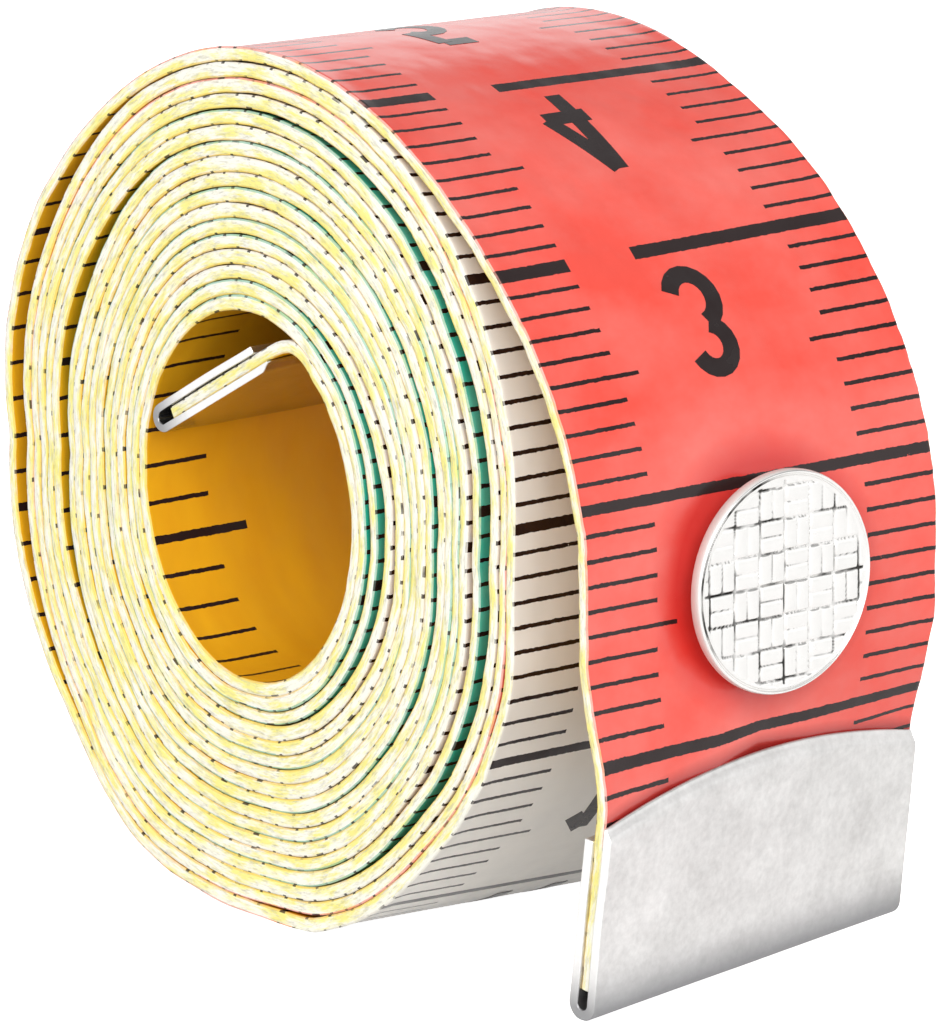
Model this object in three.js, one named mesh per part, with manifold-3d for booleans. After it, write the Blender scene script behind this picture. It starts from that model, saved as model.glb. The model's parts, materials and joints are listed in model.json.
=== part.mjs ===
// Rolled cloth tape measure: a coated cloth strip wound on itself, standing on its rim.
// The outer end hangs over the side as a flap, closed by a press stud. Each end has a folded metal clip.
// Millimetres, +Z up. The roll's axis runs along Y, the flap hangs on the +X side.
import * as THREE from 'three';
import { mergeVertices } from 'three/addons/utils/BufferGeometryUtils.js';
import Module from 'manifold-3d';

const wasm = await Module();
wasm.setup();

// Tape strip
const TAPE_WIDTH = 18;
const TAPE_THICK = 0.44;
const TURN_GAP = 0.48;
const TURNS = 10.92;
const BORE_HALF_WIDTH = 6.8;
const BORE_HALF_HEIGHT = 8.1;
const FLOOR_PRESS = 0.1;
const STUD_PRESS = 0.5;
const ROOT_ANGLE = 70;
const STEPS_PER_TURN = 48;
const BEND_GAP = 0.3;

// Flap
const STUD_ANGLE = -5;
const CLOSED_GAP = 4.35;
const ROOT_HANDLE = 9.3;
const SNAP_HANDLE = 2.4;
const UPPER_SHARE = 0.56;
const STRAIGHT_MARGIN = 1;

// Free end below the stud
const TIP_LEAN = 7.6;
const TIP_TWIST = 7;
const TIP_BEND_LENGTH = 2.2;
const TIP_STEP = 0.1;
const TIP_STATION_STEPS = 6;
const FLOOR_CLEAR = 0.4;

// Folded end clips
const CLIP_PLATE = 0.5;
const CLIP_CLEAR = 0.12;
const CLIP_FRONT = 8;
const CLIP_BACK = 7.6;
const CLIP_CROWN = 1.25;
const CLIP_FOLD_ROOM = 0.45;
const CLIP_WASTE_MARGIN = 1;

// Inner end
const TAIL_BEND_RADIUS = 3.3;
const TAIL_BEND_ANGLE = 86;
const TAIL_STRAIGHT = 7;

// Press stud, along its axis
const SEAT = 0.05;
const STUD_FLANGE_RADIUS = 3.7;
const STUD_FLANGE = 0.4;
const NECK_RADIUS = 1.4;
const NECK_FILLET = 0.25;
const BULB_RADIUS = 1.9;
const BULB_TOP_RADIUS = 1.1;
const BULB_RISE = 0.35;
const STUD_HEIGHT = 1.85;
const STUD_HOLLOW_RADIUS = 1;
const STUD_HOLLOW_DEPTH = 1.3;
const BACK_POST_RADIUS = 0.85;
const BACK_FLANGE_RADIUS = 2.4;
const BACK_FLANGE = 0.2;
const BACK_POST_CLEAR = 0.1;
const BACK_POST_ROUND = 0.2;
const MOUTH_GAP = 0.3;
const SOCKET_RADIUS = 4.1;
const SOCKET_BACK_RADIUS = 3.5;
const SOCKET_MOUTH_RADIUS = 2.75;
const SOCKET_ROUND = 0.5;
const SOCKET_BACK_ROUND = 0.2;
const SOCKET_GROOVE = 0.6;
const SOCKET_LIP = 0.2;
const SOCKET_HEADROOM = 0.6;
const WIRE_RADIUS = 0.2;
const SPRING_GRIP = 1.7;
const SPRING_ARC_RADIUS = 2.95;
const SPRING_CORNER = 0.5;
const SPRING_CLEAR = 0.2;
const POST_RADIUS = 1.2;
const POST_BORE_RADIUS = 0.7;
const POST_CLINCH_RADIUS = 1.9;
const POST_CLINCH = 0.25;
const POST_CLINCH_ROUND = 0.1;
const POST_FLANGE_RADIUS = 3.6;
const POST_FLANGE = 0.23;
const HOLE_CLEAR = 0.15;
const CAP_RADIUS = 4.45;
const CAP_HEIGHT = 1.06;
const CAP_SHELL = 0.35;
const CAP_DIMPLE = 0.08;
const CAP_DIMPLE_RADIUS = 3.7;
const CAP_RIM_RADIUS = 3.95;
const CAP_SEAT_RADIUS = 4.2;
const CAP_LIP_RADIUS = 3.3;
const CAP_LIP = 0.2;
const CAP_WALL_CLEAR = 0.15;
const ROUND_STEPS = 36;

const PITCH = TAPE_THICK + TURN_GAP;
const HALF_THICK = TAPE_THICK / 2;
const rad = THREE.MathUtils.degToRad;

// Middle of the strip at a number of turns from the flap's root, seen from -Y as [x, z]
function boreRadius(angle) {
  const a = BORE_HALF_WIDTH + HALF_THICK;
  const b = BORE_HALF_HEIGHT + HALF_THICK;
  return 1 / Math.hypot(Math.cos(angle) / a, Math.sin(angle) / b);
}

function turnRadius(turn) {
  return boreRadius(rad(ROOT_ANGLE + 360 * turn)) + PITCH * (TURNS - turn);
}

// Each turn is pressed a little flat under the roll and more behind the stud, the outer turn most
function pressShare(turn) {
  return 1 - turn / TURNS;
}

function nearestPass(turn, angle) {
  const first = (angle - ROOT_ANGLE) / 360;
  return first + Math.round(turn - first);
}

function turnPoint(turn) {
  const angle = rad(ROOT_ANGLE + 360 * turn);
  const radius = turnRadius(turn);
  const low = nearestPass(turn, 270);
  const side = nearestPass(turn, 360 + STUD_ANGLE);
  const floor = -turnRadius(low) + FLOOR_PRESS * pressShare(low);
  const wall = turnRadius(side) * Math.cos(rad(STUD_ANGLE)) - STUD_PRESS * pressShare(side);
  return new THREE.Vector3(
    Math.min(radius * Math.cos(angle), wall),
    0,
    Math.max(radius * Math.sin(angle), floor),
  );
}

// Closed strip along stations of a middle point, an outward normal and a direction across
function stripGeometry(stations) {
  const positions = [];
  const index = [];
  for (const { middle, normal, across } of stations) {
    for (const [n, b] of [[1, -1], [1, 1], [-1, 1], [-1, -1]]) {
      const corner = middle.clone();
      corner.addScaledVector(normal, n * HALF_THICK);
      corner.addScaledVector(across, b * TAPE_WIDTH / 2);
      positions.push(corner.x, corner.y, corner.z);
    }
  }
  const last = 4 * (stations.length - 1);
  for (let start = 0; start < last; start += 4) {
    for (let side = 0; side < 4; side += 1) {
      const a = start + side;
      const b = start + (side + 1) % 4;
      index.push(a, b, b + 4, a, b + 4, a + 4);
    }
  }
  index.push(0, 2, 1, 0, 3, 2);
  index.push(last, last + 1, last + 2, last, last + 2, last + 3);
  const geometry = new THREE.BufferGeometry();
  geometry.setAttribute('position', new THREE.Float32BufferAttribute(positions, 3));
  geometry.setIndex(index);
  return facingOut(geometry);
}

// Middle points on a path in the XZ plane become stations with normals on its left
function flatStations(points) {
  return points.map((middle, i) => {
    const before = points[Math.max(i - 1, 0)];
    const after = points[Math.min(i + 1, points.length - 1)];
    const along = after.clone().sub(before).normalize();
    const normal = new THREE.Vector3(-along.z, 0, along.x);
    return { middle, normal, across: new THREE.Vector3(0, 1, 0) };
  });
}

function facingOut(geometry) {
  const merged = weld(geometry);
  const p = merged.attributes.position;
  const index = Array.from(merged.index.array);
  const [a, b, c] = [new THREE.Vector3(), new THREE.Vector3(), new THREE.Vector3()];
  let volume = 0;
  for (let i = 0; i < index.length; i += 3) {
    a.fromBufferAttribute(p, index[i]);
    b.fromBufferAttribute(p, index[i + 1]);
    c.fromBufferAttribute(p, index[i + 2]);
    volume += a.dot(b.cross(c));
  }
  if (volume < 0) index.reverse();
  merged.setIndex(index);
  return merged;
}

function weld(geometry) {
  const bare = geometry.clone();
  bare.deleteAttribute('normal');
  bare.deleteAttribute('uv');
  const merged = mergeVertices(bare, 1e-4);
  const kept = [];
  const index = merged.index.array;
  for (let i = 0; i < index.length; i += 3) {
    const [a, b, c] = [index[i], index[i + 1], index[i + 2]];
    if (a !== b && b !== c && c !== a) kept.push(a, b, c);
  }
  merged.setIndex(kept);
  return merged;
}

function solid(geometry) {
  const merged = facingOut(geometry);
  return new wasm.Manifold(new wasm.Mesh({
    numProp: 3,
    vertProperties: Float32Array.from(merged.attributes.position.array),
    triVerts: Uint32Array.from(merged.index.array),
  }));
}

function fromSolid(body) {
  const mesh = body.getMesh();
  const geometry = new THREE.BufferGeometry();
  geometry.setAttribute('position', new THREE.BufferAttribute(Float32Array.from(mesh.vertProperties), 3));
  geometry.setIndex(Array.from(mesh.triVerts));
  return geometry;
}

// Round bar along X from one place to another
function barAlongX(radius, from, to, z) {
  const bar = new THREE.CylinderGeometry(radius, radius, to - from, ROUND_STEPS);
  bar.rotateZ(-Math.PI / 2);
  bar.translate((from + to) / 2, 0, z);
  return bar;
}

// Turned piece: [radius, height] profile, its axis turned to +X
function turned(profile) {
  const points = profile.map(([radius, height]) => new THREE.Vector2(radius, height));
  const geometry = new THREE.LatheGeometry(points, ROUND_STEPS);
  geometry.rotateZ(-Math.PI / 2);
  return facingOut(geometry);
}

// Wound roll
const rollTurns = [];
const bendShare = BEND_GAP / 2 / (2 * Math.PI * turnRadius(0));
const endShare = BEND_GAP / 2 / (2 * Math.PI * turnRadius(TURNS));
const rollSteps = Math.round(TURNS * STEPS_PER_TURN);
for (let i = 0; i <= rollSteps; i += 1) {
  rollTurns.push(bendShare + (TURNS - bendShare - endShare) * i / rollSteps);
}
const rollPoints = rollTurns.map(turnPoint).reverse();
const rollStations = flatStations(rollPoints);

// Least clear gap between one turn's outer face and the next turn's inner face, measured on points
function leastTurnGap() {
  const face = (i, way) => rollStations[i].middle.clone().addScaledVector(rollStations[i].normal, way * HALF_THICK);
  const near = new THREE.Vector3();
  let least = Infinity;
  for (let i = 0; i + STEPS_PER_TURN / 2 < rollStations.length; i += 1) {
    const point = face(i, 1);
    const end = Math.min(i + STEPS_PER_TURN * 1.5, rollStations.length - 1);
    for (let j = i + STEPS_PER_TURN / 2; j < end; j += 1) {
      new THREE.Line3(face(j, -1), face(j + 1, -1)).closestPointToPoint(point, true, near);
      least = Math.min(least, near.distanceTo(point));
    }
  }
  return least;
}
console.log(`least gap between turns: ${leastTurnGap().toFixed(3)} mm`);

// Places that follow from the roll
const studTurn = nearestPass(1, 360 + STUD_ANGLE);
const studZ = turnRadius(studTurn) * Math.sin(rad(STUD_ANGLE));
const wallX = turnRadius(studTurn) * Math.cos(rad(STUD_ANGLE)) - STUD_PRESS * pressShare(studTurn) + HALF_THICK;
const floorTurn = nearestPass(0.5, 270);
const floorZ = -turnRadius(floorTurn) + FLOOR_PRESS * pressShare(floorTurn) - HALF_THICK;
const flapInner = CLOSED_GAP;
const flapOuter = CLOSED_GAP + TAPE_THICK;
const flapX = wallX + flapInner + HALF_THICK;

// Flap: a free curve from its root to the stretch that the stud keeps straight
const root = turnPoint(0);
const rootWay = turnPoint(-0.002).sub(turnPoint(0.002)).normalize();
const straightTop = new THREE.Vector3(flapX, 0, studZ + CAP_RADIUS + STRAIGHT_MARGIN / 2);
const tipBend = new THREE.Vector3(flapX, 0, studZ - CAP_RADIUS - STRAIGHT_MARGIN);
const flapCurve = new THREE.CubicBezierCurve3(
  root,
  root.clone().addScaledVector(rootWay, ROOT_HANDLE),
  straightTop.clone().add(new THREE.Vector3(0, 0, SNAP_HANDLE)),
  straightTop,
);
const flapLength = flapCurve.getLength();
const flapAt = (length) => flapCurve.getPointAt(THREE.MathUtils.clamp(length / flapLength, 0, 1));
const bendAt = UPPER_SHARE * flapLength;

function between(from, to, steps) {
  return Array.from({ length: steps + 1 }, (_, i) => from + (to - from) * i / steps);
}

const upperStations = flatStations(between(BEND_GAP / 2, bendAt - BEND_GAP / 2, 10).map(flapAt));
const lowerPoints = between(bendAt + BEND_GAP / 2, flapLength, 9).map(flapAt);
for (const z of between(straightTop.z, tipBend.z + BEND_GAP / 2, 6).slice(1)) {
  lowerPoints.push(new THREE.Vector3(flapX, 0, z));
}
const lowerStations = flatStations(lowerPoints);

// Free end: it leans in and twists a little below the bend, then runs straight into its clip
const clipInside = TAPE_THICK + 2 * CLIP_CLEAR;
const foldRadius = clipInside / 2 + CLIP_PLATE;
const lean = rad(TIP_LEAN);
const tipStart = tipBend.z - BEND_GAP / 2;
const clipEndZ = floorZ + FLOOR_CLEAR + TAPE_WIDTH / 2 * Math.sin(rad(TIP_TWIST)) * Math.sin(lean);
const clipLength = foldRadius + CLIP_FOLD_ROOM;
const tipStations = [];
const tipMiddle = new THREE.Vector3(flapX, 0, tipStart);
let tipRun = 0;
while (tipMiddle.z > clipEndZ + foldRadius + (clipLength - foldRadius) * Math.cos(lean)) {
  const step = Math.round(tipRun / TIP_STEP);
  if (step % TIP_STATION_STEPS === 0) tipStations.push(tipStation(tipMiddle.clone(), tipRun));
  tipRun += TIP_STEP;
  const slope = lean * Math.min(tipRun / TIP_BEND_LENGTH, 1);
  tipMiddle.x -= TIP_STEP * Math.sin(slope);
  tipMiddle.z -= TIP_STEP * Math.cos(slope);
}
const tapeEnd = tipMiddle.clone();
tipStations.push(tipStation(tapeEnd, tipRun));

function tipStation(middle, run) {
  const share = Math.min(run / TIP_BEND_LENGTH, 1);
  const turn = new THREE.Matrix4().makeRotationY(lean * share);
  turn.multiply(new THREE.Matrix4().makeRotationZ(rad(TIP_TWIST) * share));
  return {
    middle,
    normal: new THREE.Vector3(1, 0, 0).transformDirection(turn),
    across: new THREE.Vector3(0, 1, 0).transformDirection(turn),
  };
}

// Inner end: the last turn bends off the bore's wall and runs straight into its clip
const tailRoot = turnPoint(TURNS);
const tailWay = turnPoint(TURNS).sub(turnPoint(TURNS - 0.002)).normalize();
const tailHeading = Math.atan2(tailWay.z, tailWay.x);
const tailBendEnd = rad(TAIL_BEND_ANGLE);
const tailAt = (length) => {
  const turn = Math.min(length / TAIL_BEND_RADIUS, tailBendEnd);
  const rest = Math.max(length - TAIL_BEND_RADIUS * tailBendEnd, 0);
  const way = tailHeading + turn;
  return new THREE.Vector3(
    tailRoot.x + TAIL_BEND_RADIUS * (Math.sin(way) - Math.sin(tailHeading)) + rest * Math.cos(way),
    0,
    tailRoot.z - TAIL_BEND_RADIUS * (Math.cos(way) - Math.cos(tailHeading)) + rest * Math.sin(way),
  );
};
const tailBendLength = TAIL_BEND_RADIUS * tailBendEnd;
const tailLengths = [
  ...between(BEND_GAP / 2, tailBendLength, 9),
  ...between(tailBendLength, tailBendLength + TAIL_STRAIGHT, 2).slice(1),
];
const tailStations = flatStations(tailLengths.map(tailAt).reverse());
const tailEnd = tailAt(tailBendLength + TAIL_STRAIGHT);
const tailEndHeading = tailHeading + tailBendEnd;

// Folded clip: a strip bent to a hairpin over the tape's end, its front edge crowned.
// Made with the tape's end at its own origin, the fold towards -Z and the front leg on +X.
function clipGeometry() {
  const inside = clipInside / 2;
  const outside = inside + CLIP_PLATE;
  const bottom = -CLIP_FOLD_ROOM;
  const top = bottom - foldRadius + CLIP_FRONT + CLIP_CROWN;
  const profile = new THREE.Shape();
  profile.moveTo(outside, top);
  profile.lineTo(outside, bottom);
  profile.absarc(0, bottom, outside, 0, -Math.PI, true);
  profile.lineTo(-outside, bottom - foldRadius + CLIP_BACK);
  profile.lineTo(-inside, bottom - foldRadius + CLIP_BACK);
  profile.lineTo(-inside, bottom);
  profile.absarc(0, bottom, inside, Math.PI, 0, false);
  profile.lineTo(inside, top);
  profile.closePath();
  const folded = new THREE.ExtrudeGeometry(profile, { depth: TAPE_WIDTH, bevelEnabled: false, curveSegments: 10 });
  folded.rotateX(Math.PI / 2);
  folded.translate(0, TAPE_WIDTH / 2, 0);

  const half = TAPE_WIDTH / 2;
  const crownRadius = (half * half + CLIP_CROWN * CLIP_CROWN) / (2 * CLIP_CROWN);
  const reach = Math.asin(half / crownRadius);
  const waste = new THREE.Shape();
  const margin = CLIP_WASTE_MARGIN;
  waste.moveTo(-half - margin, top - CLIP_CROWN);
  waste.absarc(0, top - crownRadius, crownRadius, Math.PI / 2 + reach, Math.PI / 2 - reach, true);
  waste.lineTo(half + margin, top - CLIP_CROWN);
  waste.lineTo(half + margin, top + margin);
  waste.lineTo(-half - margin, top + margin);
  waste.closePath();
  const cutter = new THREE.ExtrudeGeometry(waste, { depth: outside * 3, bevelEnabled: false, curveSegments: 16 });
  cutter.rotateX(Math.PI / 2);
  cutter.rotateZ(Math.PI / 2);
  return fromSolid(solid(folded).subtract(solid(cutter)));
}

// Quarter of an ellipse between two profile points: it leaves along the axis and arrives square to it
function rounded([radius, height], [endRadius, endHeight], steps) {
  return between(0, Math.PI / 2, steps).map((turn) => [
    endRadius + (radius - endRadius) * Math.cos(turn),
    height + (endHeight - height) * Math.sin(turn),
  ]);
}

// Round rim of a plate, from its lower face over the edge to its upper face
function plateRim(radius, low, high, steps) {
  const half = (high - low) / 2;
  return [
    ...rounded([radius, low + half], [radius - half, low], steps).reverse(),
    ...rounded([radius, low + half], [radius - half, high], steps).slice(1),
  ];
}

// Press stud pieces, heights measured from the outer face of the roll's outer turn
const studBase = SEAT + STUD_FLANGE;
const studTop = studBase + STUD_HEIGHT;
const mouth = studBase + MOUTH_GAP;
const groove = mouth + SOCKET_LIP;
const grooveEnd = groove + SOCKET_GROOVE;
const grooveRadius = SPRING_ARC_RADIUS + WIRE_RADIUS + SPRING_CLEAR;
const cavityEnd = studTop + SOCKET_HEADROOM;
const socketBack = flapInner - SEAT;
const postHole = POST_RADIUS + HOLE_CLEAR;
const wireLevel = (groove + grooveEnd) / 2;
const bulbLevel = wireLevel + WIRE_RADIUS + BULB_RISE;
const hollowTop = SEAT + STUD_HOLLOW_DEPTH;

const studProfile = [
  [STUD_HOLLOW_RADIUS, SEAT],
  ...plateRim(STUD_FLANGE_RADIUS, SEAT, studBase, 2),
  ...rounded([NECK_RADIUS, studBase + NECK_FILLET], [NECK_RADIUS + NECK_FILLET, studBase], 2).reverse(),
  [NECK_RADIUS, wireLevel + WIRE_RADIUS],
  ...rounded([BULB_RADIUS, bulbLevel], [BULB_TOP_RADIUS, studTop], 4),
  [0, studTop],
  [0, hollowTop],
  [STUD_HOLLOW_RADIUS, hollowTop],
  [STUD_HOLLOW_RADIUS, SEAT],
];

const backFace = -TAPE_THICK - SEAT;
const backPostTop = hollowTop - BACK_POST_CLEAR;
const backPostProfile = [
  [0, backFace - BACK_FLANGE],
  ...plateRim(BACK_FLANGE_RADIUS, backFace - BACK_FLANGE, backFace, 2),
  [BACK_POST_RADIUS, backFace],
  ...rounded([BACK_POST_RADIUS, backPostTop - BACK_POST_ROUND], [BACK_POST_RADIUS - BACK_POST_ROUND, backPostTop], 2),
  [0, backPostTop],
];

const socketWaist = grooveEnd + SOCKET_RADIUS - SOCKET_BACK_RADIUS;
const socketProfile = [
  [SOCKET_MOUTH_RADIUS, mouth],
  ...rounded([SOCKET_RADIUS, mouth + SOCKET_ROUND], [SOCKET_RADIUS - SOCKET_ROUND, mouth], 3).reverse(),
  ...rounded([SOCKET_RADIUS, grooveEnd], [SOCKET_BACK_RADIUS, socketWaist], 3),
  ...rounded(
    [SOCKET_BACK_RADIUS, socketBack - SOCKET_BACK_ROUND],
    [SOCKET_BACK_RADIUS - SOCKET_BACK_ROUND, socketBack],
    2,
  ),
  [postHole, socketBack],
  [postHole, cavityEnd],
  [SOCKET_MOUTH_RADIUS, cavityEnd],
  [SOCKET_MOUTH_RADIUS, grooveEnd],
  [grooveRadius, grooveEnd],
  [grooveRadius, groove],
  [SOCKET_MOUTH_RADIUS, groove],
  [SOCKET_MOUTH_RADIUS, mouth],
];

const clinch = cavityEnd - SEAT - POST_CLINCH;
const capBase = flapOuter + SEAT;
const capTop = capBase + CAP_HEIGHT;
const capField = capTop - CAP_DIMPLE;
const capRoof = capField - CAP_SHELL;
const capWaist = capBase + CAP_HEIGHT / 2;
const flangeBase = capBase + CAP_LIP + SEAT;
const postProfile = [
  [POST_BORE_RADIUS, clinch],
  [POST_CLINCH_RADIUS - POST_CLINCH_ROUND, clinch],
  [POST_CLINCH_RADIUS, clinch + POST_CLINCH / 2],
  [POST_CLINCH_RADIUS - POST_CLINCH_ROUND, clinch + POST_CLINCH],
  [POST_RADIUS, clinch + POST_CLINCH],
  [POST_RADIUS, flangeBase],
  [POST_FLANGE_RADIUS, flangeBase],
  [POST_FLANGE_RADIUS, flangeBase + POST_FLANGE],
  [POST_BORE_RADIUS, flangeBase + POST_FLANGE],
  [POST_BORE_RADIUS, clinch],
];

// The cap's flat field lies a little below its rolled rim
const capWall = POST_FLANGE_RADIUS + CAP_WALL_CLEAR;
const capProfile = [
  [0, capField],
  [CAP_DIMPLE_RADIUS, capField],
  [(CAP_DIMPLE_RADIUS + CAP_RIM_RADIUS) / 2, capTop - CAP_DIMPLE / 4],
  ...rounded([CAP_RADIUS, capWaist], [CAP_RIM_RADIUS, capTop], 5).reverse(),
  ...rounded([CAP_RADIUS, capWaist], [CAP_SEAT_RADIUS, capBase], 3).slice(1),
  [CAP_LIP_RADIUS, capBase],
  [CAP_LIP_RADIUS, capBase + CAP_LIP],
  [capWall, capBase + CAP_LIP],
  [capWall, capRoof],
  [0, capRoof],
];

// Spring: one wire, two legs on either side of the stud's neck joined by an arc in the socket's groove
function springGeometry() {
  const legEnd = Math.sqrt(SPRING_ARC_RADIUS ** 2 - SPRING_GRIP ** 2);
  const half = Math.asin(SPRING_GRIP / SPRING_ARC_RADIUS);
  const corner = SPRING_CORNER;
  const trim = SPRING_CORNER / SPRING_ARC_RADIUS / 2;
  const points = [];
  for (const z of between(-legEnd, legEnd - corner, 6)) points.push(new THREE.Vector3(0, SPRING_GRIP, z));
  for (const angle of between(half - trim, trim - half, 8)) {
    points.push(new THREE.Vector3(0, SPRING_ARC_RADIUS * Math.sin(angle), SPRING_ARC_RADIUS * Math.cos(angle)));
  }
  for (const z of between(legEnd - corner, -legEnd, 6)) points.push(new THREE.Vector3(0, -SPRING_GRIP, z));
  const wire = new THREE.Shape();
  wire.absarc(0, 0, WIRE_RADIUS, 0, 2 * Math.PI, false);
  const path = new THREE.CatmullRomCurve3(points, false, 'centripetal');
  const geometry = new THREE.ExtrudeGeometry(wire, { steps: 56, curveSegments: 8, extrudePath: path, bevelEnabled: false });
  return facingOut(geometry);
}

// Materials
const vinyl = (color) => new THREE.MeshStandardMaterial({ color, roughness: 0.35, metalness: 0 });
const redVinyl = vinyl(0xe8382e);
const creamVinyl = vinyl(0xefe3b4);
const yellowVinyl = vinyl(0xe3a41c);
const aluminium = new THREE.MeshStandardMaterial({ color: 0xd2d0cc, roughness: 0.45, metalness: 0.9 });
const nickel = new THREE.MeshStandardMaterial({ color: 0xdcdcda, roughness: 0.18, metalness: 1 });
const steel = new THREE.MeshStandardMaterial({ color: 0xb8b8b6, roughness: 0.35, metalness: 0.9 });

const tape = new THREE.Group();

function add(name, geometry, material, group = tape) {
  const mesh = new THREE.Mesh(geometry, material);
  mesh.name = name;
  group.add(mesh);
  return mesh;
}

// Tape, with a hole for each post of the press stud
const backHole = BACK_POST_RADIUS + HOLE_CLEAR;
const studHole = barAlongX(backHole, wallX - TAPE_THICK - TURN_GAP / 3, wallX + TURN_GAP / 3, studZ);
const capHole = barAlongX(postHole, flapX - TAPE_THICK, flapX + TAPE_THICK, studZ);
add('tape_roll', fromSolid(solid(stripGeometry(rollStations)).subtract(solid(studHole))), creamVinyl);
add('tape_flap_upper', stripGeometry(upperStations), redVinyl);
add('tape_flap_lower', fromSolid(solid(stripGeometry(lowerStations)).subtract(solid(capHole))), redVinyl);
add('tape_tip', stripGeometry(tipStations), redVinyl);
add('tape_inner_end', stripGeometry(tailStations), yellowVinyl);

// End clips
const outerClip = add('outer_tip_clip', clipGeometry(), aluminium);
outerClip.position.copy(tapeEnd);
outerClip.rotation.set(0, lean, rad(TIP_TWIST), 'YZX');
const innerClip = add('inner_tip_clip', clipGeometry(), aluminium);
innerClip.position.copy(tailEnd);
innerClip.rotation.set(0, -tailEndHeading - Math.PI / 2, 0);

// Press stud
const stud = new THREE.Group();
stud.position.set(wallX, 0, studZ);
tape.add(stud);
add('snap_stud', turned(studProfile), steel, stud);
add('snap_stud_post', turned(backPostProfile), steel, stud);
add('snap_socket', turned(socketProfile), nickel, stud);
add('snap_spring', springGeometry(), steel, stud).position.x = wireLevel;
add('snap_cap_post', turned(postProfile), steel, stud);
add('snap_cap', turned(capProfile), nickel, stud);

// Origin under the middle of the part, on the surface that it stands on
tape.updateMatrixWorld(true);
const box = new THREE.Box3().setFromObject(tape, true);
tape.position.set(-(box.min.x + box.max.x) / 2, 0, -box.min.z);
tape.updateMatrixWorld(true);

// Bending lines of the strip, on the face that closes as it bends
const leftFace = (way) => new THREE.Vector3(-way.z, 0, way.x).multiplyScalar(HALF_THICK);
tape.userData.bends = {
  flap_lift: root.clone().add(leftFace(rootWay)).add(tape.position),
  flap_straighten: flapAt(bendAt).add(leftFace(flapCurve.getTangentAt(UPPER_SHARE))).add(tape.position),
  tip_bend: tipBend.clone().add(leftFace(new THREE.Vector3(0, 0, -1))).add(tape.position),
  inner_end_flex: tailRoot.clone().add(leftFace(tailWay)).add(tape.position),
};

export default tape;
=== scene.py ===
import json
import math

import bmesh
import bpy
import numpy as np
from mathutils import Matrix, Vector


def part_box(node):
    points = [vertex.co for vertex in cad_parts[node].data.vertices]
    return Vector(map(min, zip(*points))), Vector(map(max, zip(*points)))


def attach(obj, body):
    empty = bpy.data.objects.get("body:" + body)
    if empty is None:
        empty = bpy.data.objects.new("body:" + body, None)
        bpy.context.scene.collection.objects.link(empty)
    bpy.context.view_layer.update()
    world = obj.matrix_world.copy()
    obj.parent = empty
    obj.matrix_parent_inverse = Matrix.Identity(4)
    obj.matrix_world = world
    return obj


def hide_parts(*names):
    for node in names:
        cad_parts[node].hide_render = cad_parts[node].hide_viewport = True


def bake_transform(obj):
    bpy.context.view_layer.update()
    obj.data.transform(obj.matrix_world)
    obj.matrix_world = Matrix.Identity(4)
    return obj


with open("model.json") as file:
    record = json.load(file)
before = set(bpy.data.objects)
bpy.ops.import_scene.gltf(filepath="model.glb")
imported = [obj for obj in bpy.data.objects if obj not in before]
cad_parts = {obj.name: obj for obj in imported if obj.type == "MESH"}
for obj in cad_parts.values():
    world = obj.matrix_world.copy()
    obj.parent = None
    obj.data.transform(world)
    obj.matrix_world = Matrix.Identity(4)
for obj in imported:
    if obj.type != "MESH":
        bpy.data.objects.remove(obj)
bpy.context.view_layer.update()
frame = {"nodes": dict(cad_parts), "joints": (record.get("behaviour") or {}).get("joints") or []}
MM = 0.001

# Camera
# A long lens from the right of the roll's open end, a little above it.
# The image is 942 x 1024, so the sensor's width lies along its long side.
CAMERA_AZIMUTH = math.radians(50.28)
CAMERA_ELEVATION = math.radians(13.28)
CAMERA_DISTANCE = 468.5
CAMERA_AIM = (-1.651, 1.272, 15.62)
FOCAL_PIXELS = 11456
LONG_SIDE_PIXELS = 1024
SENSOR = 36.0
SEEN_TO = 10.0

level = math.cos(CAMERA_ELEVATION)
camera_back = Vector((
    math.sin(CAMERA_AZIMUTH) * level,
    -math.cos(CAMERA_AZIMUTH) * level,
    math.sin(CAMERA_ELEVATION),
))
camera_data = bpy.data.cameras.new("camera")
camera_data.sensor_width = SENSOR
camera_data.lens = FOCAL_PIXELS * SENSOR / LONG_SIDE_PIXELS
camera_data.clip_end = SEEN_TO
camera = bpy.data.objects.new("camera", camera_data)
camera.location = (Vector(CAMERA_AIM) + CAMERA_DISTANCE * camera_back) * MM
camera.rotation_mode = "QUATERNION"
camera.rotation_quaternion = (-camera_back).to_track_quat("-Z", "Y")
bpy.context.scene.collection.objects.link(camera)
bpy.context.scene.camera = camera

# Cloth strip: its route
# One strip of coated cloth, 18 mm wide. It starts in the outer clip, runs up as the loose flap,
# joins the roll near its top and winds inwards. Its inner end bends back across the bore.
STRIP_WIDTH = 18.0
STRIP_THICK = 0.44
HALF_WIDTH = STRIP_WIDTH / 2
HALF_THICK = STRIP_THICK / 2
ROUTE_STEP = 0.05

# The roll: its bore, its turns and the gaps between them
BORE_MIDDLE = (-3.345, 17.334)
BORE_HALF = (6.48, 7.35)
INNER_ANGLE = 50.0
ROOT_ANGLE = 69.3
TURNS = 17 - (ROOT_ANGLE - INNER_ANGLE) / 360
STEPS_PER_TURN = 240
TIGHT_GAP = 0.015
TOP_GAP = 0.175
LOW_GAP = 0.125
LOW_CLOCK = 270
PRESS_SOFTNESS = 0.06
STUD_FLAT = 7.0
STUD_ROOM = 0.05

# Shoulders of the roll: a change of the gap, its clock angle and how far it spreads
SHOULDERS = (
    (-0.022, 112.0, 45.0),
    (-0.040, 142.0, 34.0),
    (0.028, 242.0, 22.0),
    (0.034, 290.0, 28.0),
)

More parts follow.
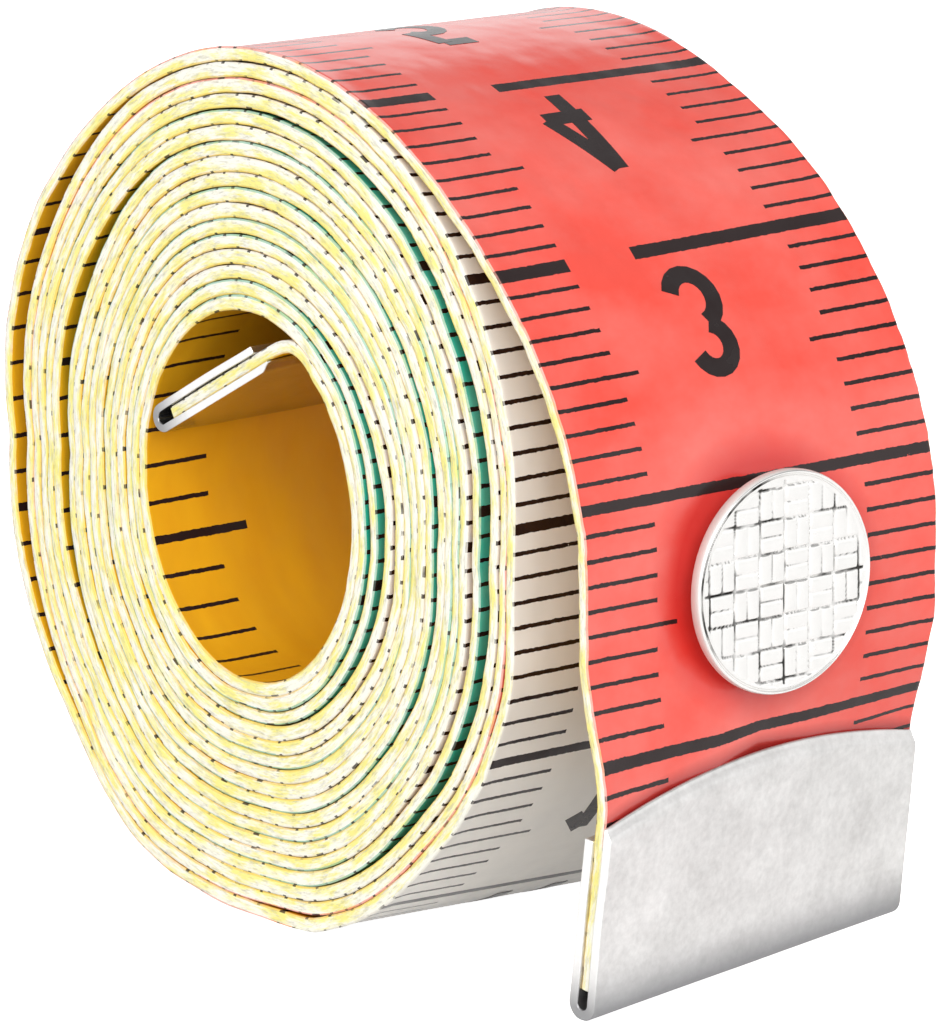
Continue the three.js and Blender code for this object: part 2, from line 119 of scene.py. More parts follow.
# Loose places: extra gap by layer from the outside, its clock angle and its spread in turns
LOOSE_PLACES = (
    ({1: 0.03, 2: 0.11, 3: 0.68, 4: 0.29, 8: 0.27, 13: 0.25, 14: 0.49, 15: 0.23}, 360.0, 0.243),
    ({1: 0.78, 3: 0.07, 6: 0.50, 11: 0.06}, 178.0, 0.17),
    ({1: 0.40, 6: 0.35}, 142.0, 0.10),
    ({3: 0.20}, 418.0, 0.13),
)

# The flap: its arc, its straight length behind the stud and its lean below it
FLAP_INWARD = 0.19
ROOT_HANDLE = 9.35
SNAP_HANDLE = 6.87
STRAIGHT_TOP = 0.82
TIP_LEAN = math.radians(9.3)
TIP_BEND_LENGTH = 2.2
MARK_AT_TIP_BEND = 10.5
ARC_POINTS, TIP_POINTS = 400, 200

# The inner end
INNER_END = (-8.32, 20.10)
INNER_HEADING = math.radians(209.5)
INNER_STRAIGHT = 6.0
INNER_HANDLE = 2.6
INNER_POINTS = 200

# Twists about the strip's length, in degrees: on the flap by mark, on the roll by clock angle
TIP_TWIST = math.radians(-7.0)
TWIST_FROM, TWIST_TO = 8.0, 14.0
FLAP_TWISTS = ((1.3, 17.0, 12.0), (1.1, 29.0, 11.0))
ROLL_TWISTS = ((-1.9, 82.0, 75.0), (1.9, 300.0, 38.0))
ROLL_TWIST_FROM, ROLL_TWIST_FADE = 28.0, 12.0
FLOOR_ROOM = 0.05
TIP_SKEW = math.radians(1.65)
SKEW_START, SKEW_LENGTH = 12.0, 5.0

# Unevenness: the edge's wander along the roll, a crease above the clip and dents in the flap
WANDER, WANDER_FROM, WANDER_FADE = 0.03, 20.0, 60.0
WANDER_LONG, WANDER_SHORT, WANDER_SHORT_SHARE = 31.0, 13.7, 0.6
CREASE, CREASE_MARK, CREASE_LENGTH = 0.22, 9.8, 3.4
CREASE_RIDGE, CREASE_VALLEY, CREASE_WIDTH = -3.2, -0.4, 2.5
DENT, DENT_FROM, DENT_RISE, DENT_TO, DENT_FALL = 0.022, 13.0, 6.0, 46.0, 8.0
DENT_LONG, DENT_WIDE, DENT_SLANT = 2.9, 2.1, 0.45
FINE_DENT_LONG, FINE_DENT_WIDE, FINE_DENT_SHARE = 1.7, 2.6, 0.6


def box_mm(cad_node):
    """Low and high corner of a CAD node's box, in millimetres."""
    return (np.array(corner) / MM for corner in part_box(cad_node))


hinge = {j["name"]: np.array(j["pos_m"])[[0, 2]] / MM for j in frame["joints"]}
cap_low, cap_high = box_mm("snap_cap")
_, flap_high = box_mm("tape_flap_lower")
stud_low, _ = box_mm("snap_stud")
tip_low, _ = box_mm("tape_tip")
stud_z = (cap_low[2] + cap_high[2]) / 2
stud_wall = stud_low[0] - STUD_ROOM - HALF_THICK
flap_x = flap_high[0] - HALF_THICK - FLAP_INWARD


def raised(x):
    """A smooth bump: 1 in the middle, falling as half a cosine wave to 0 at -1 and at 1."""
    return 0.5 + 0.5 * np.cos(np.pi * np.clip(x, -1, 1))


def smooth(x):
    """Rises from 0 to 1 with level ends, as 3 x squared less 2 x cubed."""
    x = np.clip(x, 0, 1)
    return x * x * (3 - 2 * x)


def bezier(a, b, c, d, count):
    """Points of the cubic curve from a to d that leaves towards b and arrives from c."""
    t = np.linspace(0, 1, count)[:, None]
    a, b, c, d = (np.array(p, float) for p in (a, b, c, d))
    return (1 - t) ** 3 * a + 3 * t * (1 - t) ** 2 * b + 3 * t**2 * (1 - t) * c + t**3 * d


def clock_apart(clock, at_clock):
    """Turn from one clock angle to another the short way round, from -180 to 180 degrees."""
    return (clock - at_clock + 180) % 360 - 180


def rest_gap(angle):
    """Gap between neighbouring turns at an angle about the bore: least at the sides, wider above and
    below, with a little more or less at the shoulders."""
    rise = np.sin(angle)
    gap = TIGHT_GAP + TOP_GAP * np.clip(rise, 0, 1) + LOW_GAP * np.clip(-rise, 0, 1)
    for extra, at_clock, spread in SHOULDERS:
        gap = gap + extra * raised(clock_apart(np.degrees(angle), at_clock) / spread)
    return gap


def wound_route():
    """Middle of the strip from the bore's wall outwards. The first turn follows the bore's ellipse,
    and each later turn lies on the turn inside it, plus one thickness and a gap. The gap is wider above
    and below than at the sides, apart from the loose places. The rim is pressed flat under the roll."""
    count = round(TURNS * STEPS_PER_TURN)
    turn = np.arange(count + 1) / STEPS_PER_TURN
    clock = INNER_ANGLE - 360 * turn
    angle = np.radians(clock)
    rise = np.sin(angle)
    gap = rest_gap(angle)
    for places, at_clock, spread in LOOSE_PLACES:
        for layer, extra in places.items():
            passing = TURNS - (at_clock - ROOT_ANGLE) / 360 - (layer - 1)
            gap = gap + extra * raised((turn - passing) / spread)
    step = STRIP_THICK + gap
    half_x, half_z = (half + HALF_THICK for half in BORE_HALF)
    radius = 1 / np.hypot(np.cos(angle) / half_x, rise / half_z) + step * np.clip(turn, 0, 1)
    for first in range(STEPS_PER_TURN, count + 1, STEPS_PER_TURN):
        layer = step[first:first + STEPS_PER_TURN]
        inside = radius[first - STEPS_PER_TURN:first - STEPS_PER_TURN + len(layer)]
        radius[first:first + len(layer)] = inside + layer
    x = BORE_MIDDLE[0] + radius * np.cos(angle)
    z = BORE_MIDDLE[1] + radius * rise

    low_turn = turn + clock_apart(clock, LOW_CLOCK) / 360
    low = BORE_MIDDLE[1] - np.interp(low_turn, turn, radius)
    share = np.clip(low_turn / low_turn[np.argmin(z)], 0, 1)
    floor = low + (HALF_THICK - z.min()) * share
    z = floor + PRESS_SOFTNESS * np.logaddexp(0, (z - floor) / PRESS_SOFTNESS)
    beside = raised((z - stud_z) / STUD_FLAT) * (turn > TURNS - 1) * (x > BORE_MIDDLE[0])
    x = x + beside * (stud_wall - x)
    return np.stack([x, z], -1)


def flap_route(root, way):
    """Middle of the strip from the roll to the outer clip: a free arc, then straight behind the
    press stud, then a short bend into a line that leans in towards the floor."""
    top = np.array([flap_x, stud_z + STRAIGHT_TOP])
    arc = bezier(root, root + ROOT_HANDLE * way, top + [0, SNAP_HANDLE], top, ARC_POINTS)
    bend = np.array([flap_x, hinge["tip_bend"][1]])
    length = (bend[1] - tip_low[2]) / math.cos(TIP_LEAN)
    run = np.linspace(0, length, TIP_POINTS)
    slope = TIP_LEAN * np.clip(run / TIP_BEND_LENGTH, 0, 1)
    step = np.diff(run, prepend=0)
    tip = bend - np.stack([np.cumsum(step * np.sin(slope)), np.cumsum(step * np.cos(slope))], -1)
    return np.concatenate([arc, tip])


def inner_route(root, way):
    """Middle of the strip from the bore's wall to the inner clip: a tight arc, then a straight line."""
    heading = np.array([math.cos(INNER_HEADING), math.sin(INNER_HEADING)])
    end = np.array(INNER_END)
    mouth = end - INNER_STRAIGHT * heading
    arc = bezier(root, root + INNER_HANDLE * way, mouth - INNER_HANDLE * heading, mouth, INNER_POINTS)
    return np.concatenate([arc[1:], [end]])


def spaced(points):
    """The same route with points at even steps along it, and the length up to each."""
    run = np.concatenate([[0], np.cumsum(np.hypot(*np.diff(points, axis=0).T))])
    even = np.arange(0, run[-1], ROUTE_STEP)
    return even, np.stack([np.interp(even, run, points[:, i]) for i in (0, 1)], -1)


def direction(points):
    """Unit vector from the first point to the last."""
    return (points[-1] - points[0]) / np.hypot(*(points[-1] - points[0]))


wound = wound_route()
outer_part = flap_route(wound[-1], direction(wound[-3:]))
inner_part = inner_route(wound[0], direction(wound[2::-1]))
route_run, route = spaced(np.concatenate([outer_part[::-1], wound[-2::-1], inner_part]))
route_way = np.gradient(route, axis=0)
route_way /= np.hypot(*route_way.T)[:, None]


def run_near(point):
    """Length along the route where it passes closest to a point."""
    return route_run[np.argmin(np.hypot(*(route - point).T))]


# The printed scale's zero is at the clip's lower edge
zero_run = run_near(hinge["tip_bend"] - [HALF_THICK, 0]) - MARK_AT_TIP_BEND
mark_start = -zero_run
mark_end = route_run[-1] - zero_run
mark_root = run_near(wound[-1]) - zero_run
mark_inner = run_near(wound[0]) - zero_run
mark_stud = MARK_AT_TIP_BEND + stud_z - hinge["tip_bend"][1]
mark_lift = run_near(hinge["flap_straighten"]) - zero_run


def strip_axes(mark):
    """Middle, outward normal and direction across of the strip at places along its scale. The strip
    wanders sideways in the roll, turns about its own length by its twists, as far as the floor lets it,
    and is skewed where the outer clip holds it."""
    run = mark + zero_run
    x, z = (np.interp(run, route_run, route[:, i]) for i in (0, 1))
    along_x, along_z = (np.interp(run, route_run, route_way[:, i]) for i in (0, 1))
    in_roll = smooth((mark - mark_root - WANDER_FROM) / WANDER_FADE)
    in_roll = in_roll * smooth((mark_inner - mark) / WANDER_FADE)
    waves = np.sin(mark / WANDER_LONG) + WANDER_SHORT_SHARE * np.sin(mark / WANDER_SHORT + 1)
    wander = WANDER * in_roll * waves
    twist = TIP_TWIST * smooth((TWIST_TO - mark) / (TWIST_TO - TWIST_FROM))
    for degrees, middle, spread in FLAP_TWISTS:
        twist = twist + math.radians(degrees) * raised((mark - middle) / spread)
    clock = np.degrees(np.arctan2(z - BORE_MIDDLE[1], x - BORE_MIDDLE[0]))
    outwards = np.clip((mark_inner - mark) / (mark_inner - mark_root), 0, 1)
    outwards = outwards * smooth((mark - ROLL_TWIST_FROM) / ROLL_TWIST_FADE)
    for degrees, at_clock, spread in ROLL_TWISTS:
        lean = math.radians(degrees) * outwards * raised(clock_apart(clock, at_clock) / spread)
        over_floor = np.maximum(z - HALF_THICK - FLOOR_ROOM, 0)
        twist = twist + np.minimum(lean, over_floor / HALF_WIDTH)
    skewed = (SKEW_START - mark) / SKEW_LENGTH
    skew = TIP_SKEW * smooth(skewed)
    begun = np.clip(skewed, 0, 1)
    drift = TIP_SKEW * SKEW_LENGTH * (begun**3 - begun**4 / 2 + np.maximum(skewed - 1, 0))
    none = np.zeros_like(x)
    out = np.stack([along_z, none, -along_x], -1) / np.hypot(along_x, along_z)[:, None]
    side = np.stack([none, none + 1, none], -1)
    way = np.cross(out, side)
    cos, sin = np.cos(twist)[:, None], np.sin(twist)[:, None]
    normal, side = out * cos - side * sin, side * cos + out * sin
    across = side * np.cos(skew)[:, None] + way * np.sin(skew)[:, None]
    return np.stack([x, wander + drift, z], -1), normal, across


def ripple(mark, side):
    """Small waves of the loose flap, as heights: a crease above the clip and shallow dents higher up."""
    ridge = raised((side - CREASE_RIDGE) / CREASE_WIDTH)
    valley = raised((side - CREASE_VALLEY) / CREASE_WIDTH)
    crease = CREASE * raised((mark - CREASE_MARK) / CREASE_LENGTH) * (ridge - valley)
    loose = smooth((mark - DENT_FROM) / DENT_RISE) * smooth((DENT_TO - mark) / DENT_FALL)
    dents = np.sin(mark / DENT_LONG + DENT_SLANT * side) * np.sin(side / DENT_WIDE + 1)
    dents = dents + FINE_DENT_SHARE * np.sin(mark / FINE_DENT_LONG - side / FINE_DENT_WIDE)
    return crease + DENT * loose * dents


def on_strip(mark, side, height):
    """Points at a mark along the strip, a distance across it and a height over its middle."""
    mark, side, height = (np.broadcast_to(v, np.shape(mark)).ravel() for v in (mark, side, height))
    middle, out, across = strip_axes(mark)
    height = height + ripple(mark, side)
    return middle + out * height[:, None] + across * side[:, None]


# Cloth strip: its finish
# Woven cloth coated with vinyl on both faces: ten-centimetre blocks of colour with a metric scale
# outside, yellow with an inch scale inside. The slit edges show the white weave between the two coats.
BLOCK_LENGTH = 100.0
BLOCK_COUNT = 14
GREEN_FROM_BLOCK = 4
BLOCK_RED = (0.86, 0.070, 0.044, 1)
BLOCK_WHITE = (0.83, 0.80, 0.74, 1)
BLOCK_GREEN = (0.025, 0.42, 0.30, 1)
INNER_YELLOW = (0.86, 0.46, 0.014, 1)
INNER_STAIN = (0.74, 0.33, 0.008, 1)
INK = (0.018, 0.008, 0.008, 1)
COAT_IOR, INNER_IOR = 1.62, 1.45
ROLLED_SPECULAR = 0.2
WAVE_HEIGHT, WEAVE_HEIGHT, THREAD_HEIGHT = 0.00022, 0.00001, 0.00006

# Printed scales: lengths and half widths of their marks
MM_LENGTH, FIVE_LENGTH = 3.6, 4.6
MM_HALF, CM_HALF, CM_HEAVIER = 0.088, 0.225, 0.075
INCH = 25.4
INCH_LENGTH, HALF_INCH_LENGTH = 3.2, 4.9
INCH_HALF, HALF_INCH_HALF = 0.095, 0.185
INCH_START = -1.92
PRINT_RAGGED = 0.10
PRINT_WORN = 0.27
PRINT_DULLER = 0.22
PRINT_CREEP, CREEP_FROM, CREEP_LENGTH = 1.05, 50.0, 50.0
BARE_FROM, BARE_TO = 22.0, 47.0
BARE_NEAR, BARE_FAR = -5.4, -2.1

# Painted sheen in pale clouds on the coat, a painted shadow along the arc of the clip's edge, and painted
# shade on the coat round the cap
SHEEN_COLOUR = (0.90, 0.78, 0.72, 1)
SHEEN_FROM, SHEEN_TO, SHEEN_MOST = 0.38, 0.66, 0.11
CLIP_REACH, CLIP_BULGE = 8.26, 0.0154
CLIP_SHADOW_RED = (0.34, 0.008, 0.008, 1)
CLIP_SHADOW_WIDTH, CLIP_SHADOW_MOST = 0.55, 0.8
CAP_SHADE_SIDE, CAP_SHADE_UP, CAP_SHADE_FROM, CAP_SHADE_TO = 0.04, 0.19, 4.5, 6.0
CAP_SHADE_RED = (0.60, 0.012, 0.010, 1)
CAP_SHADE_MOST = 0.8

# Slit edge: its threads and the painted shade between them, and the shares of the coats and marks that
# show at its corners
WEAVE_CREAM = (0.95, 0.93, 0.82, 1)
WEAVE_YELLOW = (0.92, 0.84, 0.27, 1)
WEAVE_SHADE = (0.46, 0.43, 0.33, 1)
WEAVE_SHADE_MOST = 0.62
COAT_FROM = 0.36
OUTER_COAT_SHOWS, INNER_COAT_SHOWS = 0.55, 0.45
MARK_ENDS_SHOW = 0.9


def printed_mark(mark):
    """Reading of the printed scale at a length along the strip. The roll's outer turns have shrunk a
    little, so their print lies ahead of the length by the creep."""
    return mark + PRINT_CREEP * smooth((mark - CREEP_FROM) / CREEP_LENGTH)


def put(tree, socket, value):
    """Links a socket to an input of a node, or sets the input to a value."""
    if isinstance(value, bpy.types.NodeSocket):
        tree.links.new(value, socket)
    elif value is not None:
        socket.default_value = value


def node(tree, kind, *inputs, **settings):
    """A new node with its settings and with its inputs in order."""
    made = tree.nodes.new(kind)
    for name, value in settings.items():
        setattr(made, name, value)
    for socket, value in zip(made.inputs, inputs):
        put(tree, socket, value)
    return made


def calc(tree, operation, *inputs):
    """The result of one arithmetic node."""
    return node(tree, "ShaderNodeMath", *inputs, operation=operation).outputs[0]


def squared(tree, value):
    """A value times itself."""
    return calc(tree, "MULTIPLY", value, value)


def ranged(tree, value, low, high, at_low, at_high):
    """A value that goes in a straight line from at_low to at_high, as another goes from low to high."""
    return node(tree, "ShaderNodeMapRange", value, low, high, at_low, at_high).outputs[0]


def mixed(tree, share, first, second):
    """The first colour, turning into the second as share goes from 0 to 1."""
    made = node(tree, "ShaderNodeMix", share, data_type="RGBA")
    put(tree, made.inputs[6], first)
    put(tree, made.inputs[7], second)
    return made.outputs[2]


def embossed(tree, height, strength, distance, normal=None):
    """Direction of a surface that rises by a height of 0 to 1 times a distance, over another direction."""
    made = node(tree, "ShaderNodeBump", strength, distance)
    put(tree, made.inputs["Height"], height)
    put(tree, made.inputs["Normal"], normal)
    return made.outputs[0]


def dress(tree, shader, looks):
    """Gives a shader its looks, by the names of its inputs."""
    for name, value in looks.items():
        put(tree, shader.inputs[name], value)


def grain(tree, place, scale, detail=2.0, rough=0.5):
    """Cloudy noise from 0 to 1."""
    made = node(tree, "ShaderNodeTexNoise", place, normalize=True)
    made.inputs["Scale"].default_value = scale
    made.inputs["Detail"].default_value = detail
    made.inputs["Roughness"].default_value = rough
    return made.outputs[0]


def stretched(tree, place, x, y, z):
    """The same place with each of its axes multiplied."""
    made = node(tree, "ShaderNodeVectorMath", place, (x, y, z), operation="MULTIPLY")
    return made.outputs[0]


def strip_place(tree):
    """Place on the strip: the vector, and its mark, distance across and share of the thickness."""
    place = node(tree, "ShaderNodeAttribute", attribute_name="strip_place").outputs["Vector"]
    return place, *node(tree, "ShaderNodeSeparateXYZ", place).outputs


def marks(tree, along, pitch, half):
    """1 on a line every pitch along the strip, half being half of its thickness."""
    phase = calc(tree, "FRACT", calc(tree, "MULTIPLY_ADD", along, 1 / pitch, 0.5))
    away = calc(tree, "ABSOLUTE", calc(tree, "SUBTRACT", phase, 0.5))
    return calc(tree, "LESS_THAN", calc(tree, "MULTIPLY", away, pitch), half)


def within(tree, value, low, high):
    """1 where a value lies between two limits."""
    above = calc(tree, "GREATER_THAN", value, low)
    return calc(tree, "MULTIPLY", above, calc(tree, "LESS_THAN", value, high))


def ragged(tree, place, offset):
    """An offset with fine noise about it, which makes the edges of the print uneven."""
    noise = grain(tree, place, 5.0, detail=3.0)
    return calc(tree, "MULTIPLY_ADD", noise, PRINT_RAGGED, offset - PRINT_RAGGED / 2)


def metric_ink(tree, place, along, across):
    """1 on the metric scale: a mark every millimetre from both edges, a longer one every five,
    and a bold line across every centimetre, heavier and broken along one stretch."""
    along = calc(tree, "ADD", along, ragged(tree, place, 0))
    from_edge = calc(tree, "SUBTRACT", HALF_WIDTH, calc(tree, "ABSOLUTE", across))
    short = calc(tree, "LESS_THAN", from_edge, MM_LENGTH)
    longer = calc(tree, "LESS_THAN", from_edge, FIVE_LENGTH)
    fine = calc(tree, "MULTIPLY", marks(tree, along, 1, MM_HALF), short)
    halfway = calc(tree, "SUBTRACT", along, 5)
    five = calc(tree, "MULTIPLY", marks(tree, halfway, 10, MM_HALF), longer)
    stretch = within(tree, along, BARE_FROM, BARE_TO)
    panel = calc(tree, "MULTIPLY", stretch, within(tree, across, BARE_NEAR, BARE_FAR))
    heavy = calc(tree, "MULTIPLY_ADD", stretch, CM_HEAVIER, CM_HALF)
    bold = calc(tree, "MULTIPLY", marks(tree, along, 10, heavy), calc(tree, "SUBTRACT", 1, panel))
    return calc(tree, "MAXIMUM", calc(tree, "MAXIMUM", fine, five), bold)


def inch_ink(tree, place, along, across):
    """1 on the inch scale, which counts from the inner end: a mark every sixteenth of an inch,
    bold and longer every half inch."""
    along = calc(tree, "SUBTRACT", ragged(tree, place, mark_end - INCH_START), along)
    from_edge = calc(tree, "SUBTRACT", HALF_WIDTH, calc(tree, "ABSOLUTE", across))
    fine = marks(tree, along, INCH / 16, INCH_HALF)
    fine = calc(tree, "MULTIPLY", fine, calc(tree, "LESS_THAN", from_edge, INCH_LENGTH))
    bold = marks(tree, along, INCH / 2, HALF_INCH_HALF)
    bold = calc(tree, "MULTIPLY", bold, calc(tree, "LESS_THAN", from_edge, HALF_INCH_LENGTH))
    return calc(tree, "MAXIMUM", fine, bold)


def block_colour(tree, along):
    """Colour of the ten-centimetre block: white in between, red twice and then green."""
    ramp = node(tree, "ShaderNodeValToRGB", calc(tree, "DIVIDE", along, BLOCK_LENGTH * BLOCK_COUNT))
    ramp.color_ramp.interpolation = "CONSTANT"
    stops = ramp.color_ramp.elements
    while len(stops) < BLOCK_COUNT:
        stops.new(1)
    for i in range(BLOCK_COUNT):
        stops[i].position = i / BLOCK_COUNT
        coloured = BLOCK_RED if i < GREEN_FROM_BLOCK else BLOCK_GREEN
        stops[i].color = BLOCK_WHITE if i % 2 else coloured
    return ramp.outputs[0]


def new_material(name):
    """A new material, its node tree and its shader."""
    made = bpy.data.materials.new(name)
    made.use_nodes = True
    return made, made.node_tree, made.node_tree.nodes["Principled BSDF"]


def vinyl_surface(tree, place):
    """Direction of the coat's surface: slow waves of the cloth, and the faint weave that shows through."""
    waves = grain(tree, place, 0.30, detail=2.0, rough=0.45)
    weave = grain(tree, stretched(tree, place, 3.2, 3.2, 0), 1.0, detail=1.0)
    return embossed(tree, weave, 0.35, WEAVE_HEIGHT, embossed(tree, waves, 1.0, WAVE_HEIGHT))


def printed_face():
    """Outer face: coloured vinyl under black print, glossy, with pale clouds of painted sheen, smears and
    worn specks. A painted shadow lies along the clip's edge, and painted shade darkens the coat round the
    cap."""
    made, tree, shader = new_material("printed_vinyl")
    place, along, across = strip_place(tree)[:3]
    # Painted sheen: pale clouds mixed into the coat's colour stand in for cloudy highlights on the gloss.
    cloud = grain(tree, stretched(tree, place, 0.16, 0.13, 0), 1.0, detail=5.0, rough=0.6)
    pale = ranged(tree, cloud, SHEEN_FROM, SHEEN_TO, 0.0, SHEEN_MOST)
    coat = mixed(tree, pale, block_colour(tree, along), SHEEN_COLOUR)
    # Painted shadow: a dark red band painted on the coat along the arc of the outer clip's front edge.
    bulge = calc(tree, "MULTIPLY", squared(tree, across), CLIP_BULGE)
    from_clip = calc(tree, "ADD", calc(tree, "SUBTRACT", along, mark_start + CLIP_REACH), bulge)
    clip_shadow = ranged(tree, from_clip, 0.0, CLIP_SHADOW_WIDTH, CLIP_SHADOW_MOST, 0.0)
    coat = mixed(tree, clip_shadow, coat, CLIP_SHADOW_RED)
    # Painted shade: a ring of darker red painted on the coat round the press cap, where the cap's rim
    # shades it.
    aside = calc(tree, "SUBTRACT", across, CAP_SHADE_SIDE)
    above = calc(tree, "SUBTRACT", along, mark_stud + CAP_SHADE_UP)
    from_cap = calc(tree, "SQRT", calc(tree, "ADD", squared(tree, aside), squared(tree, above)))
    cap_shade = ranged(tree, from_cap, CAP_SHADE_FROM, CAP_SHADE_TO, CAP_SHADE_MOST, 0.0)
    coat = mixed(tree, cap_shade, coat, CAP_SHADE_RED)
    whole = calc(tree, "GREATER_THAN", grain(tree, place, 2.2, detail=4.0, rough=0.7), PRINT_WORN)
    ink = calc(tree, "MULTIPLY", metric_ink(tree, place, along, across), whole)
    smear = grain(tree, stretched(tree, place, 0.12, 0.5, 0), 1.0, detail=4.0)
    dress(tree, shader, {
        "Base Color": mixed(tree, ink, coat, INK),
        "Roughness": calc(tree, "MULTIPLY_ADD", smear, 0.14, 0.13),
        "Specular IOR Level": calc(tree, "MULTIPLY_ADD", ink, -PRINT_DULLER, 0.5),
        "IOR": COAT_IOR,
        "Normal": vinyl_surface(tree, place),
    })
    return made


def inner_face():
    """Inner face: yellow vinyl with brown stains and a black inch scale, dull on the free inner end."""
    made, tree, shader = new_material("yellow_vinyl")
    place, along, across = strip_place(tree)[:3]
    stain = grain(tree, stretched(tree, place, 0.25, 0.6, 0), 1.0, detail=4.0)
    coat = mixed(tree, stain, INNER_YELLOW, INNER_STAIN)
    ink = inch_ink(tree, place, along, across)
    rolled = calc(tree, "LESS_THAN", along, printed_mark(mark_inner))
    dress(tree, shader, {
        "Base Color": mixed(tree, ink, coat, INK),
        "Roughness": calc(tree, "MULTIPLY_ADD", stain, 0.2, 0.28),
        "Specular IOR Level": calc(tree, "MULTIPLY", rolled, ROLLED_SPECULAR),
        "IOR": INNER_IOR,
        "Normal": vinyl_surface(tree, place),
    })
    return made


def slit_edge():
    """Slit edge: white and yellow threads in patches, with painted grey shade in the hollows between
    tufts.
    The two coats and the ends of their printed marks just show at the corners."""
    made, tree, shader = new_material("slit_weave")
    place, along, across, depth = strip_place(tree)
    patches = grain(tree, stretched(tree, place, 0.5, 0.2, 1.2), 1.0, detail=3.0, rough=0.6)
    threads = grain(tree, stretched(tree, place, 2.0, 0.5, 8.0), 1.0, detail=4.0, rough=0.65)
    lean = calc(tree, "MULTIPLY_ADD", patches, 2.4, calc(tree, "MULTIPLY", threads, 1.3))
    lean = calc(tree, "SUBTRACT", lean, calc(tree, "MULTIPLY", depth, 0.45))
    cloth = mixed(tree, ranged(tree, lean, 1.65, 2.15, 0.0, 1.0), WEAVE_CREAM, WEAVE_YELLOW)
    # Painted shade: grey mixed into the threads in patches, standing in for shade in the hollows of the
    # weave.
    shaded_tufts = grain(tree, stretched(tree, place, 1.6, 0.8, 4.5), 1.0, detail=4.0, rough=0.7)
    cloth = mixed(tree, ranged(tree, shaded_tufts, 0.50, 0.70, 0.0, WEAVE_SHADE_MOST), cloth, WEAVE_SHADE)
    outer = calc(tree, "GREATER_THAN", depth, COAT_FROM)
    inner = calc(tree, "LESS_THAN", depth, -COAT_FROM)
    coat = calc(tree, "MULTIPLY", outer, OUTER_COAT_SHOWS)
    cloth = mixed(tree, coat, cloth, block_colour(tree, along))
    cloth = mixed(tree, calc(tree, "MULTIPLY", inner, INNER_COAT_SHOWS), cloth, INNER_YELLOW)
    ends = calc(tree, "MULTIPLY", outer, metric_ink(tree, place, along, across))
    ends = calc(tree, "MULTIPLY_ADD", inner, inch_ink(tree, place, along, across), ends)
    shows = ranged(tree, grain(tree, place, 0.6, detail=3.0), 0.42, 0.56, 0.0, MARK_ENDS_SHOW)
    dress(tree, shader, {
        "Base Color": mixed(tree, calc(tree, "MULTIPLY", ends, shows), cloth, INK),
        "Roughness": 0.85,
        "Normal": embossed(tree, threads, 0.8, THREAD_HEIGHT),
    })
    return made


strip_finishes = [printed_face(), slit_edge(), inner_face()]

# Cloth strip: its lengths
# The strip is slit from a wide sheet, so its edges are square with worn corners. It is drawn in five
# lengths that meet where nothing bends: the wound roll, three lengths of the flap, and the inner end.
CORNER = 0.065
WORN_CORNER = 0.019
FRAY = 0.035
FADE_ROWS = 4
ACROSS_STEPS = 7
FLAT_FROM = 1.0
OUTER, EDGE, INNER = 0, 1, 2
SEAM = 0.04
MOUTH = 0.25
MOUTH_SHARE = 0.8
WOUND_STEP = 0.55
FLAP_STEP = 0.35

# The edge's swelling: where it starts from the edge, its share there, and its size along the strip
SWELL_FROM = (0.70, 0.45, 0.22)
SWELL_SHARE = (0.10, 0.40, 0.75)
EDGE_SWELL = (1, 0.8, 0, 0.8, 1)
SWELL = 0.04
SWELL_INTO_GAP = 0.88
SWELL_NOISE = 0.22
SWELL_BEFORE, SWELL_RISE, SWELL_FALL = 5.0, 6.0, 9.0
FINE_SWELL, FINE_SWELL_SHORT, FINE_SWELL_LONG = 0.22, 1.9, 7.3
SLOW_SWELL, SLOW_SWELL_LENGTH = 0.2, 23.0

# Places of the seams and lengths of the bends
UNDER_FLAP = 9.5
FLAP_SEAM = 7.5
LIFT_LENGTH = 5.5
STRAIGHTEN_LENGTH = 2.5
TIP_BEND_ABOVE, TIP_BEND_BELOW = 0.5, 2.5
FLEX_LENGTH = 3.2


def strip_section():
    """The strip's outline as height over its middle, distance across and share of the edge's swelling,
    and the finish of each side of it."""
    swell = [*SWELL_SHARE, 1]
    swell_side = HALF_WIDTH - np.array([*SWELL_FROM, CORNER])
    flat = np.linspace(-HALF_WIDTH + FLAT_FROM, HALF_WIDTH - FLAT_FROM, ACROSS_STEPS)
    face_side = np.concatenate([-swell_side[::-1], flat, swell_side])
    face_swell = np.concatenate([swell[::-1], np.zeros(ACROSS_STEPS), swell])
    face_height = np.full(len(face_side), HALF_THICK)
    below_face = [WORN_CORNER, CORNER, HALF_THICK, STRIP_THICK - CORNER, STRIP_THICK - WORN_CORNER]
    edge_height = HALF_THICK - np.array(below_face)
    edge_side = HALF_WIDTH - np.array([WORN_CORNER, 0, -WORN_CORNER / 2, 0, WORN_CORNER])
    height = np.concatenate([face_height, edge_height, -face_height, -edge_height])
    side = np.concatenate([face_side, edge_side, -face_side, -edge_side])
    swelling = np.concatenate([face_swell, EDGE_SWELL, face_swell, EDGE_SWELL]) * np.sign(height)
    face_count, edge_count = len(face_side) - 1, len(edge_side) + 1
    finish = np.repeat([OUTER, EDGE, INNER, EDGE], [face_count, edge_count] * 2)
    return height, side, swelling, finish


